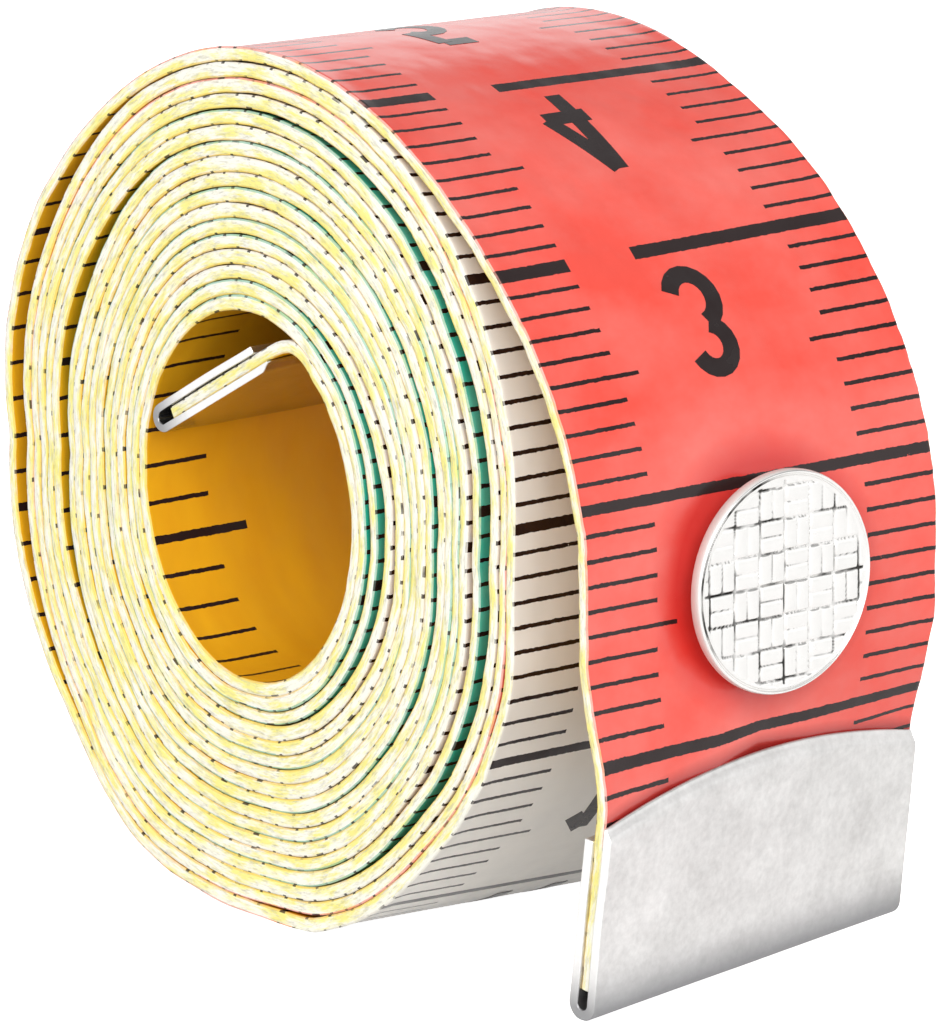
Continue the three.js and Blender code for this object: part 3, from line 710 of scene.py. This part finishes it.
def edge_swelling(mark):
    """How far the slit edge swells beyond the coat: a little on the flap, and in the roll unevenly into
    the gap between turns."""
    middle = strip_axes(mark)[0]
    angle = np.arctan2(middle[:, 2] - BORE_MIDDLE[1], middle[:, 0] - BORE_MIDDLE[0])
    in_roll = smooth((mark - mark_root + SWELL_BEFORE) / SWELL_RISE)
    in_roll = in_roll * smooth((mark_inner - mark) / SWELL_FALL)
    fine = FINE_SWELL * np.sin(mark / FINE_SWELL_SHORT) * np.sin(mark / FINE_SWELL_LONG + 1)
    uneven = 1 + fine + SLOW_SWELL * np.sin(mark / SLOW_SWELL_LENGTH + 2)
    return SWELL * (1 - in_roll) + in_roll * uneven * SWELL_INTO_GAP * rest_gap(angle) / 2


def ring_faces(rows, columns):
    """Four-sided faces of a tube of rows, each a closed ring of columns."""
    row, column = np.meshgrid(np.arange(rows - 1), np.arange(columns), indexing="ij")
    after = (column + 1) % columns
    first, second = row * columns, (row + 1) * columns
    return np.stack([first + column, first + after, second + after, second + column], -1).reshape(-1, 4)


def new_piece(name, points, faces, finishes):
    """An object at the origin from points in millimetres, with its finishes."""
    mesh = bpy.data.meshes.new(name)
    mesh.from_pydata((np.reshape(points, (-1, 3)) * MM).tolist(), [], [list(f) for f in faces])
    for finish in finishes:
        mesh.materials.append(finish)
    made = bpy.data.objects.new(name, mesh)
    bpy.context.scene.collection.objects.link(made)
    return made


def slit_cloth(mark, height, side, swelling, seed):
    """Heights and distances across of the strip's section at each mark. Noise, evened out over three
    rows and faded at both ends, frays the two edges and varies their swelling."""
    rows = len(mark)
    row = np.arange(rows)
    noise = np.random.default_rng(seed).normal(0, 1, (3, rows))
    noise = (noise + np.roll(noise, 1, 1) + np.roll(noise, -1, 1)) / 3 * smooth(row / FADE_ROWS)
    near, far, swell_noise = noise * smooth((rows - 1 - row) / FADE_ROWS)
    at_edge = np.abs(side) > HALF_WIDTH - 2 * CORNER
    fray = FRAY * np.where(side < 0, near[:, None], far[:, None]) * at_edge
    swell = edge_swelling(mark) * (1 + SWELL_NOISE * swell_noise)
    return height + swell[:, None] * swelling, side + fray


def strip_piece(name, start, end, step, seed):
    """A length of the strip: its section carried along the route. Each end is hollowed a little, so that
    the ends of two lengths meet only along their rims."""
    height, side, swelling, finish = strip_section()
    count = math.ceil((end - start) / step)
    mark = np.concatenate([[start], np.linspace(start + SEAM, end - SEAM, count), [end]])
    heights, sides = slit_cloth(mark, height, side, swelling, seed)
    mark = np.concatenate([[start + MOUTH], mark, [end - MOUTH]])
    heights = np.concatenate([MOUTH_SHARE * heights[:1], heights, MOUTH_SHARE * heights[-1:]])
    sides = np.concatenate([sides[:1], sides, sides[-1:]])
    sides[[0, -1]] *= 1 - MOUTH / HALF_WIDTH
    rows, columns = heights.shape
    marks_grid = np.repeat(mark[:, None], columns, 1)
    points = on_strip(marks_grid, sides, heights)
    ends = [np.arange(columns)[::-1], np.arange(columns) + (rows - 1) * columns]
    made = new_piece(name, points, [*ring_faces(rows, columns), *ends], strip_finishes)
    mesh = made.data
    across = np.repeat(side[None], rows, 0)
    share = np.repeat(height[None], rows, 0) / STRIP_THICK
    place = np.stack([printed_mark(marks_grid), across, share], -1)
    attribute = mesh.attributes.new("strip_place", "FLOAT_VECTOR", "POINT")
    attribute.data.foreach_set("vector", place.astype(np.float32).ravel())
    in_mouth = np.zeros(len(mesh.polygons), bool)
    in_mouth[:columns] = True
    in_mouth[-columns - 2:] = True
    index = np.where(in_mouth, EDGE, np.concatenate([np.tile(finish, rows - 1), [EDGE, EDGE]]))
    mesh.polygons.foreach_set("material_index", index.astype(np.int32))
    mesh.polygons.foreach_set("use_smooth", ~in_mouth)
    corners = np.empty(2 * len(mesh.edges), np.int32)
    mesh.edges.foreach_get("vertices", corners)
    first_row, second_row = (corners.reshape(-1, 2) // columns).T
    rims = (first_row == second_row) & np.isin(first_row, (1, rows - 2))
    mesh.edges.foreach_set("use_edge_sharp", rims)
    mesh.update()
    return made


def spot(mark):
    """Middle of the strip at a mark, in metres."""
    return tuple(float(v) * MM for v in strip_axes(np.array([mark]))[0][0])


seam_roll = mark_root + UNDER_FLAP
seam_flap = mark_root - FLAP_SEAM
seam_inner = mark_inner - FLEX_LENGTH
lift_bend = (spot(mark_root), spot(mark_root - LIFT_LENGTH))
straighten_bend = (spot(mark_lift + STRAIGHTEN_LENGTH), spot(mark_lift - STRAIGHTEN_LENGTH))
tip_bend = (spot(MARK_AT_TIP_BEND + TIP_BEND_ABOVE), spot(MARK_AT_TIP_BEND - TIP_BEND_BELOW))

wound_strip = strip_piece("wound_strip", seam_roll, seam_inner, WOUND_STEP, 1)
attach(wound_strip, "roll")
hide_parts("tape_roll")

flap_root = strip_piece("flap_root", seam_flap, seam_roll, FLAP_STEP, 2)
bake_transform(flap_root)
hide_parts("tape_flap_upper")

flap_front = strip_piece("flap_front", mark_stud, seam_flap, FLAP_STEP, 3)
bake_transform(flap_front)
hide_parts("tape_flap_lower")

flap_end = strip_piece("flap_end", mark_start, mark_stud, FLAP_STEP, 4)
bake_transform(flap_end)
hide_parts("tape_tip")

inner_end = strip_piece("inner_end", seam_inner, mark_end, FLAP_STEP, 5)
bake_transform(inner_end)
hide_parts("tape_inner_end")

# Printed figures
# Bold black figures printed on the outer face, one before each centimetre line. They stand towards the
# strip's outer end, and they are reversed, as the whole strip is. The ink is a thin film on the coat.
FIGURE_HEIGHT = 4.1
FIGURE_STROKE = 0.78
FIGURE_SIDE = -0.35
FIGURE_PITCH = 2.9
FIGURE_GAP = 1.35
INK_FILM = 0.014
INK_SUNK = 0.01
INK_SMEAR = (0.03, 0.024, 0.024, 1)
INK_SPECULAR = 0.2
FIRST_ROLL_FIGURE, LAST_ROLL_FIGURE = 6, 15


def arc(middle_x, middle_y, half_x, half_y, start, end, count=14):
    """Points on part of an ellipse, by angle in degrees."""
    angle = np.radians(np.linspace(start, end, count))
    return np.stack([middle_x + half_x * np.cos(angle), middle_y + half_y * np.sin(angle)], -1)


def line(*corners):
    """Points close together along straight lines."""
    corners = np.array(corners, float)
    share = np.linspace(0, len(corners) - 1, 8 * (len(corners) - 1) + 1)
    return np.stack([np.interp(share, np.arange(len(corners)), corners[:, i]) for i in (0, 1)], -1)


# Middle lines of the strokes, in shares of the figure's height
figure_strokes = {
    "0": [arc(0, 0.5, 0.21, 0.5, 0, 360, 28)],
    "1": [line((0.05, 0), (0.05, 1)), line((-0.16, 0.76), (0.05, 1))],
    "2": [np.concatenate([arc(0, 0.76, 0.21, 0.24, 165, -35), line((0.13, 0.54), (-0.23, 0.02))]),
          line((-0.26, 0), (0.24, 0))],
    "3": [arc(-0.01, 0.77, 0.21, 0.23, 160, -75), arc(-0.01, 0.26, 0.24, 0.27, 75, -160)],
    "4": [line((0.1, -0.08), (0.1, 1.1)), line((0.08, 1.1), (-0.25, 0.3)),
          line((-0.27, 0.29), (0.26, 0.29))],
    "5": [line((0.2, 1), (-0.17, 1)), line((-0.15, 1), (-0.2, 0.5)),
          arc(-0.01, 0.3, 0.23, 0.3, 138, -150)],
    "6": [arc(0, 0.28, 0.22, 0.28, 0, 360, 28), arc(0.16, 0.3, 0.38, 0.7, 180, 95)],
    "7": [line((-0.22, 1), (0.23, 1)), line((0.22, 1), (-0.06, 0))],
    "8": [arc(0, 0.76, 0.19, 0.24, 0, 360, 28), arc(0, 0.26, 0.23, 0.27, 0, 360, 28)],
    "9": [arc(0, 0.72, 0.22, 0.28, 0, 360, 28), arc(-0.16, 0.7, 0.38, 0.7, 0, -85)],
}


def stroke_film(middle_line, base, side):
    """A stroke as a film on the strip: a flat band carried along its middle line. The figure's top points
    to the zero end."""
    way = np.gradient(middle_line, axis=0)
    way /= np.hypot(*way.T)[:, None]
    over = np.stack([-way[:, 1], way[:, 0]], -1) * FIGURE_STROKE / 2
    left, right = middle_line * FIGURE_HEIGHT + over, middle_line * FIGURE_HEIGHT - over
    ring = np.stack([left, right, right, left], 1)
    height = HALF_THICK + np.tile([INK_FILM, INK_FILM, -INK_SUNK, -INK_SUNK], (len(middle_line), 1))
    return on_strip(base - ring[..., 1], side + ring[..., 0], height).reshape(-1, 4, 3)


def figures_piece(name, numbers):
    """All strokes of some centimetre figures in one mesh."""
    points, faces, total = [], [], 0
    for number in numbers:
        digits = str(number)
        reading = 10 * number - FIGURE_GAP
        base = 2 * reading - printed_mark(reading)
        for place, digit in enumerate(digits):
            side = FIGURE_SIDE + FIGURE_PITCH * (place - (len(digits) - 1) / 2)
            for middle_line in figure_strokes[digit]:
                film = stroke_film(middle_line, base, side)
                rows = len(film)
                ends = [[3, 2, 1, 0], [4 * rows - 4, 4 * rows - 3, 4 * rows - 2, 4 * rows - 1]]
                faces.append(np.concatenate([ring_faces(rows, 4), ends]) + total)
                points.append(film.reshape(-1, 3))
                total += 4 * rows
    return new_piece(name, np.concatenate(points), np.concatenate(faces), [figure_ink])


def object_place(tree):
    """Place on the piece, in metres."""
    return node(tree, "ShaderNodeTexCoord").outputs["Object"]


def ink_film():
    """Black ink: nearly black, less shiny than the coat, with grey smears."""
    made, tree, shader = new_material("figure_ink")
    smear = grain(tree, object_place(tree), 900.0, detail=4.0)
    dress(tree, shader, {
        "Base Color": mixed(tree, smear, INK, INK_SMEAR),
        "Roughness": calc(tree, "MULTIPLY_ADD", smear, 0.2, 0.15),
        "IOR": COAT_IOR,
        "Specular IOR Level": INK_SPECULAR,
    })
    return made


figure_ink = ink_film()
for name, numbers, bodies, bend in (
    ("figures_flap_end", [1], ("flap", "tip"), tip_bend),
    ("figures_flap_front", [2, 3], ("flap_upper", "flap"), straighten_bend),
    ("figures_flap_root", [4, 5], ("roll", "flap_upper"), lift_bend),
):
    figures = figures_piece(name, numbers)
    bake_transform(figures)
figures = figures_piece("figures_roll", range(FIRST_ROLL_FIGURE, LAST_ROLL_FIGURE + 1))
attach(figures, "roll")

# End clips
# A strip of soft aluminium folded over each end of the tape and pressed flat. The front edge is cut
# to a shallow arc, the fold stays a little open, and the surface is dull with press marks.
CLIP_FRONT = 8.22
CLIP_CROWN = 1.25
CLIP_SLANT = 0.12
CLIP_BACK = 7.6
CLIP_FOLD_ROOM = 0.55
CLIP_FOLD_SHADE = 2.6
CLIP_DENT = 0.018
CLIP_DENT_ROWS, CLIP_DENT_COLUMNS = 7, 9
CLIP_STATIONS = 61
LEG_STEPS, FOLD_STEPS = 26, 20
LEG_CROWDING = 1.5
CLIP_BEVEL = 0.06
CLIP_OVER = 0.16
CLIP_THINNED, CLIP_THIN_LENGTH = 0.68, 0.55
FOLD_SHADE_GREY = (0.20, 0.20, 0.21, 1)
FOLD_SHADE_MOST = 0.85
PRESS_MARK_DEPTH = 0.00002
SHARP_EDGE = math.radians(40)
CUT_EDGE = math.radians(50)
SAME_POINT = 1e-7


def clip_points(middle, out, across, along, plate, inside, seed):
    """The clip in two skins: its hairpin profile, set out either side of the plate's middle, is carried
    across the tape, and the front leg ends on a shallow arc, where its edge is pressed thin. Dents, a
    coarse grid of random heights joined by smooth bumps, run over the skins."""
    side = np.linspace(-HALF_WIDTH - CLIP_OVER, HALF_WIDTH, CLIP_STATIONS)[:, None]
    reach = inside / 2 + plate
    bottom = -CLIP_FOLD_ROOM - reach
    share = side / HALF_WIDTH
    top = bottom + CLIP_FRONT + CLIP_CROWN * (1 - share**2) - CLIP_SLANT * share
    leg = np.linspace(0, 1, LEG_STEPS) ** LEG_CROWDING
    turn = np.radians(np.linspace(0, -180, FOLD_STEPS))[1:-1]
    front = top + (-CLIP_FOLD_ROOM - top) * leg
    back = np.broadcast_to(-CLIP_FOLD_ROOM + (bottom + CLIP_BACK + CLIP_FOLD_ROOM) * leg, front.shape)
    pressed = CLIP_THINNED * plate * smooth(1 - (top - front) / CLIP_THIN_LENGTH)
    skins = []
    for radius, thinned in ((reach, pressed), (inside / 2, 0)):
        fold_out = np.broadcast_to(radius * np.cos(turn), (CLIP_STATIONS, len(turn)))
        fold_along = np.broadcast_to(-CLIP_FOLD_ROOM + radius * np.sin(turn), fold_out.shape)
        legs = np.full(front.shape, radius)
        outward = np.concatenate([legs - thinned, fold_out, -legs], 1)
        upward = np.concatenate([front, fold_along, back], 1)
        skins.append((outward, upward))
    wave = np.random.default_rng(seed).normal(0, 1, (CLIP_DENT_ROWS, CLIP_DENT_COLUMNS))
    rows = np.linspace(0, CLIP_DENT_ROWS - 1, CLIP_STATIONS)[:, None]
    columns = np.linspace(0, CLIP_DENT_COLUMNS - 1, skins[0][0].shape[1])[None]
    dent = CLIP_DENT * sum(
        wave[i, j] * raised(rows - i) * raised(columns - j)
        for i in range(CLIP_DENT_ROWS) for j in range(CLIP_DENT_COLUMNS)
    )
    points = []
    for outward, upward in skins:
        outward = outward + dent * np.sign(outward) * (np.abs(outward) > inside / 4)
        points.append(
            middle + outward[..., None] * out + upward[..., None] * along
            + np.broadcast_to(side, outward.shape)[..., None] * across
        )
    # Painted shade: a share that rises towards the fold, by which the clip's colour is darkened there.
    fold_shade = smooth(1 - (skins[0][1] - bottom) / CLIP_FOLD_SHADE)
    return *points, fold_shade


def clip_piece(name, middle, out, across, along, plate, inside, seed, finish):
    """Two skins of the clip joined along all four borders, with its cut edges rounded. The two borders
    at the ends of the fold have the finish of a fresh cut."""
    outer, inner, fold_shade = clip_points(middle, out, across, along, plate, inside, seed)
    rows, columns = outer.shape[:2]
    count = rows * columns
    grid = np.arange(count).reshape(rows, columns)

    def quads(a, b, c, d):
        """Four-sided faces from four arrays of corners."""
        return np.stack([a.ravel(), b.ravel(), c.ravel(), d.ravel()], -1)

    skin = quads(grid[:-1, :-1], grid[1:, :-1], grid[1:, 1:], grid[:-1, 1:])
    faces = [skin, skin[:, ::-1] + count]
    for border in (grid[0], grid[:, -1], grid[-1, ::-1], grid[::-1, 0]):
        faces.append(quads(border[:-1], border[1:], border[1:] + count, border[:-1] + count))
    points = np.concatenate([outer.reshape(-1, 3), inner.reshape(-1, 3)])
    made = new_piece(name, points, np.concatenate(faces), [finish, cut_aluminium])
    cut = np.repeat([0, 0, 1, 0, 1, 0], [len(part) for part in faces])
    made.data.polygons.foreach_set("material_index", cut.astype(np.int32))
    attribute = made.data.attributes.new("fold_shade", "FLOAT", "POINT")
    attribute.data.foreach_set("value", np.tile(fold_shade.ravel(), 2).astype(np.float32))
    face_outwards(made)
    round_edges = made.modifiers.new("round_edges", "BEVEL")
    round_edges.width = CLIP_BEVEL * MM
    round_edges.segments = 2
    round_edges.limit_method = "ANGLE"
    round_edges.angle_limit = CUT_EDGE
    return made


def face_outwards(made):
    """Merges points that coincide and turns all faces of a closed piece outwards, shaded smooth."""
    edit = bmesh.new()
    edit.from_mesh(made.data)
    bmesh.ops.remove_doubles(edit, verts=edit.verts, dist=SAME_POINT)
    bmesh.ops.recalc_face_normals(edit, faces=edit.faces)
    for face in edit.faces:
        face.smooth = True
    for edge in edit.edges:
        edge.smooth = edge.calc_face_angle(0) < SHARP_EDGE
    edit.to_mesh(made.data)
    edit.free()


def aluminium_sheet(name, dull, bright, metallic, rough):
    """Rolled aluminium: grey with soft blotches, fine grain and bright worn spots. Painted shade darkens
    it towards the fold.
    """
    made, tree, shader = new_material(name)
    place = object_place(tree)
    blotch = grain(tree, place, 420.0, detail=5.0, rough=0.62)
    fine = grain(tree, place, 3200.0, detail=3.0, rough=0.6)
    wear = calc(tree, "MULTIPLY_ADD", fine, 0.8, calc(tree, "MULTIPLY_ADD", blotch, 1.2, -0.5))
    # Painted shade: dark grey mixed into the colour towards the fold.
    fold = node(tree, "ShaderNodeAttribute", attribute_name="fold_shade").outputs["Fac"]
    fold = calc(tree, "MULTIPLY", fold, FOLD_SHADE_MOST)
    dress(tree, shader, {
        "Base Color": mixed(tree, fold, mixed(tree, wear, dull, bright), FOLD_SHADE_GREY),
        "Metallic": metallic,
        "Roughness": calc(tree, "MULTIPLY_ADD", fine, 0.25, rough),
        "Normal": embossed(tree, calc(tree, "ADD", fine, blotch), 0.5, PRESS_MARK_DEPTH),
    })
    return made


worn_aluminium = aluminium_sheet(
    "clip_aluminium", (0.52, 0.51, 0.50, 1), (0.86, 0.85, 0.84, 1), metallic=0.9, rough=0.24,
)
smooth_aluminium = aluminium_sheet(
    "smooth_aluminium", (0.44, 0.42, 0.38, 1), (0.70, 0.67, 0.62, 1), metallic=0.95, rough=0.02,
)
cut_aluminium = aluminium_sheet(
    "cut_aluminium", (0.80, 0.79, 0.78, 1), (0.97, 0.96, 0.95, 1), metallic=0.3, rough=0.24,
)
for name, mark, way, plate, inside, body, cad_node, seed, finish in (
    ("outer_clip", mark_start, 1, 0.44, 0.48, "tip", "outer_tip_clip", 6, worn_aluminium),
    ("inner_clip", mark_end, -1, 0.34, 0.56, "inner_end", "inner_tip_clip", 7, smooth_aluminium),
):
    (middle,), (out,), (across,) = strip_axes(np.array([mark]))
    along = way * np.cross(out, across)
    clip = clip_piece(name, middle, way * out, across, along, plate, inside, seed, finish)
    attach(clip, body)
    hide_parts(cad_node)

# Press stud
# Nickel-plated cap on the flap, riveted through the strip to a ring socket behind it. The socket closes
# over a stud on the roll, held by a wire spring. The cap has a rolled rim round a woven relief.
CAP_STEPS, CAP_RINGS = 288, 84
CAP_FIELD = 0.945
CAP_OVERSIZE = 1.02
CAP_OFF_Y, CAP_OFF_Z = 0.04, 0.19
FIELD_MARGIN, FIELD_FADE = 0.01, 0.03
RELIEF_CELL = 1.3
RELIEF_BARS = 2
RELIEF_DEPTH = 0.09
BAR_ROUNDING, BAR_END = 0.35, 0.10

# The rim in curves of four points: share of the cap's radius, and height over its top
RIM_GROOVE = ((CAP_FIELD, -0.03), (0.951, -0.115), (0.963, -0.115), (0.970, -0.02))
RIM_BEAD = ((0.970, -0.02), (0.978, 0.02), (1.0, -0.04), (1.0, -0.24))
RIM_TUCK = ((1.0, -0.24), (1.0, -0.66), (0.95, -0.70), (0.86, -0.89))
RIM_FOOT = (0.74, -1.25)
RIM_STEPS = 7
UNDERSIDE = 0.6

# Finish of the rim: painted shade darkens the groove, most towards one side, and the wall is dull
GROOVE_TO, GROOVE_ABOVE, GROOVE_DARKEST = 0.971, -0.5, 1.4
GROOVE_CLOCK, GROOVE_SPREAD = 155.0, 100.0
WALL_BELOW = -0.05
PLAIN, WALL = 1, 2
NICKEL_LOW = (0.80, 0.79, 0.77, 1)
NICKEL_HIGH = (0.92, 0.91, 0.89, 1)
NICKEL_WALL = (0.70, 0.66, 0.63, 1)
NICKEL_GRIME_AND_SHADE = (0.05, 0.048, 0.045, 1)
cap_radius = cap_high[1] * CAP_OVERSIZE
cap_top = cap_high[0]


def weave_relief(y, z):
    """A basket weave: square cells of raised bars, lying and standing in turn, with grooves between."""
    column, row = np.floor(y / RELIEF_CELL), np.floor(z / RELIEF_CELL)
    in_y, in_z = y / RELIEF_CELL - column, z / RELIEF_CELL - row
    lying = (column + row) % 2 < 1
    over = np.where(lying, in_z, in_y)
    along = np.where(lying, in_y, in_z)
    bar = np.abs(np.sin(np.pi * RELIEF_BARS * over)) ** BAR_ROUNDING
    ends = smooth(np.minimum(along, 1 - along) / BAR_END)
    return bar * ends


def cap_piece():
    """The cap as rings about the stud's axis: a flat field with the weave in relief, then the curves of
    the rim, then a flat underside back to the axis."""
    curves = [bezier(*curve, RIM_STEPS)[1:] for curve in (RIM_GROOVE, RIM_BEAD, RIM_TUCK)]
    rim = np.concatenate([*curves, [RIM_FOOT]])
    field = np.linspace(0, CAP_FIELD, CAP_RINGS)
    share = np.concatenate([field, rim[:, 0], [UNDERSIDE, 0]])
    height = np.concatenate([np.full(CAP_RINGS, RIM_GROOVE[0][1]), rim[:, 1], [RIM_FOOT[1]] * 2])
    in_field = np.arange(len(share)) < CAP_RINGS
    angle = np.linspace(0, 2 * np.pi, CAP_STEPS, endpoint=False)
    y = cap_radius * share[:, None] * np.cos(angle)
    z = cap_radius * share[:, None] * np.sin(angle)
    inside = (smooth((CAP_FIELD - FIELD_MARGIN - share) / FIELD_FADE) * in_field)[:, None]
    relief = weave_relief(y, z) * inside
    x = cap_top + height[:, None] + RELIEF_DEPTH * (relief - 1) * inside
    points = np.stack([x, y + CAP_OFF_Y, stud_z + CAP_OFF_Z + z], -1)
    made = new_piece("press_cap", points, ring_faces(*x.shape), [nickel])
    away = clock_apart(np.degrees(angle), GROOVE_CLOCK)
    groove = ((share > CAP_FIELD) & (share < GROOVE_TO) & (height > GROOVE_ABOVE))[:, None]
    wall = ((share > UNDERSIDE) & (height < WALL_BELOW) & ~in_field)[:, None]
    # Painted shade: the rim's groove gets a low value, lowest towards one side, and the nickel turns it
    # dark.
    dark = PLAIN - GROOVE_DARKEST * raised(away / GROOVE_SPREAD)
    value = np.where(inside > 0.5, relief, np.where(groove, dark, np.where(wall, WALL, PLAIN)))
    attribute = made.data.attributes.new("relief", "FLOAT", "POINT")
    attribute.data.foreach_set("value", value.astype(np.float32).ravel())
    face_outwards(made)
    return made


def nickel_plate():
    """Nickel plate: bright and smooth on the raised parts, with grime and painted shade in the grooves,
    and dull on the wall.
    """
    made, tree, shader = new_material("snap_nickel")
    place = object_place(tree)
    relief = node(tree, "ShaderNodeAttribute", attribute_name="relief").outputs["Fac"]
    grime = grain(tree, place, 1500.0, detail=4.0, rough=0.65)
    # Grime and painted shade: the relief's grooves darken in patches, and the rim's groove fully where its
    # value is lowest.
    groove = ranged(tree, relief, 0.62, 0.25, 0.0, 1.0)
    dirty = ranged(tree, grain(tree, place, 420.0, detail=3.0, rough=0.6), 0.46, 0.60, 0.06, 1.0)
    deep_shade = ranged(tree, relief, 0.0, -0.4, 0.0, 0.8)
    dark = calc(tree, "MULTIPLY", groove, calc(tree, "MAXIMUM", dirty, deep_shade))
    dull = ranged(tree, relief, PLAIN, WALL, 0.0, 1.0)
    plate = mixed(tree, dull, mixed(tree, grime, NICKEL_LOW, NICKEL_HIGH), NICKEL_WALL)
    gloss = calc(tree, "MULTIPLY_ADD", dull, 0.3, 0.14)
    dress(tree, shader, {
        "Base Color": mixed(tree, dark, plate, NICKEL_GRIME_AND_SHADE),
        "Metallic": calc(tree, "MULTIPLY_ADD", dull, -0.65, 1.0),
        "Roughness": calc(tree, "MULTIPLY_ADD", grime, 0.2, gloss),
    })
    return made


def plain_metal(name, low, high, rough):
    """Plated or drawn metal without relief: mottled between two greys, with a fine grain."""
    made, tree, shader = new_material(name)
    mottle = grain(tree, object_place(tree), 900.0, detail=4.0, rough=0.6)
    dress(tree, shader, {
        "Base Color": mixed(tree, mottle, low, high),
        "Metallic": 1.0,
        "Roughness": calc(tree, "MULTIPLY_ADD", mottle, 0.2, rough),
    })
    return made


nickel = nickel_plate()
press_cap = cap_piece()
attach(press_cap, "flap")
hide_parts("snap_cap")

socket_nickel = plain_metal("socket_nickel", (0.66, 0.65, 0.63, 1), (0.84, 0.83, 0.81, 1), 0.2)
stud_steel = plain_metal("stud_steel", (0.50, 0.50, 0.49, 1), (0.74, 0.73, 0.72, 1), 0.26)
for cad_node, finish in (
    ("snap_socket", socket_nickel),
    ("snap_stud", stud_steel),
    ("snap_stud_post", stud_steel),
    ("snap_cap_post", stud_steel),
    ("snap_spring", stud_steel),
):
    mesh = frame["nodes"][cad_node].data
    mesh.materials.clear()
    mesh.materials.append(finish)

# Floor and light
# A plain white table under soft, even studio light from above and from the camera's side.
FLOOR_HALF = 3.0
FLOOR_DROP = 0.02
FLOOR_WHITE = (0.86, 0.86, 0.86, 1)
FLOOR_SEEN, FLOOR_MIRRORED = 1.0, 0.35
WHITE = (1, 1, 1, 1)
KEY_PLACE, KEY_SIZE, KEY_WATTS = (0.25, -0.65, 0.45), 0.5, 2.9
FILL_PLACE, FILL_SIZE, FILL_WATTS = (0.62, -0.30, 0.35), 0.5, 2.9
LAMP_AIM = (0, 0, 0.015)
SKY_LIGHT = (0.5, 0.5, 0.5, 1)

# What shiny parts mirror, from the level of the floor upwards: share of the way up, and brightness
MIRRORED_STUDIO = ((0.38, 1.25), (0.52, 0.45), (0.66, 0.40), (0.88, 0.85))


def white_table():
    """White table top. It glows for the camera, and less for mirrors, so that it stays white."""
    made, tree, shader = new_material("white_table")
    path = node(tree, "ShaderNodeLightPath").outputs
    mirrored = calc(tree, "MULTIPLY", path["Is Glossy Ray"], FLOOR_MIRRORED)
    dress(tree, shader, {
        "Base Color": FLOOR_WHITE,
        "Roughness": 0.9,
        "Emission Color": WHITE,
        "Emission Strength": calc(tree, "MULTIPLY_ADD", path["Is Camera Ray"], FLOOR_SEEN, mirrored),
    })
    return made


def soft_lamp(name, place, size, watts):
    """A square soft lamp at a place in metres, facing the roll."""
    data = bpy.data.lights.new(name, "AREA")
    data.size = size
    data.energy = watts
    lamp = bpy.data.objects.new(name, data)
    lamp.location = place
    lamp.rotation_mode = "QUATERNION"
    lamp.rotation_quaternion = (Vector(LAMP_AIM) - Vector(place)).to_track_quat("-Z", "Y")
    bpy.context.scene.collection.objects.link(lamp)


corner = FLOOR_HALF / MM
table_top = new_piece(
    "table_top",
    [(-corner, -corner, -FLOOR_DROP), (corner, -corner, -FLOOR_DROP),
     (corner, corner, -FLOOR_DROP), (-corner, corner, -FLOOR_DROP)],
    [[0, 1, 2, 3]],
    [white_table()],
)
soft_lamp("key_lamp", KEY_PLACE, KEY_SIZE, KEY_WATTS)
soft_lamp("fill_lamp", FILL_PLACE, FILL_SIZE, FILL_WATTS)

world = bpy.data.worlds.new("studio")
bpy.context.scene.world = world
world.use_nodes = True
sky = world.node_tree
path = node(sky, "ShaderNodeLightPath").outputs
place = node(sky, "ShaderNodeTexCoord").outputs["Generated"]
studio = node(sky, "ShaderNodeValToRGB", node(sky, "ShaderNodeSeparateXYZ", place).outputs[2])
stops = studio.color_ramp.elements
for height, bright in MIRRORED_STUDIO:
    stops.new(height).color = (bright, bright, bright, 1)
stops.remove(stops[0])
mirrored = mixed(sky, path["Is Glossy Ray"], SKY_LIGHT, studio.outputs[0])
seen = mixed(sky, path["Is Camera Ray"], mirrored, WHITE)
dress(sky, sky.nodes["Background"], {"Color": seen, "Strength": 1.0})
bpy.context.scene.view_settings.view_transform = "Standard"
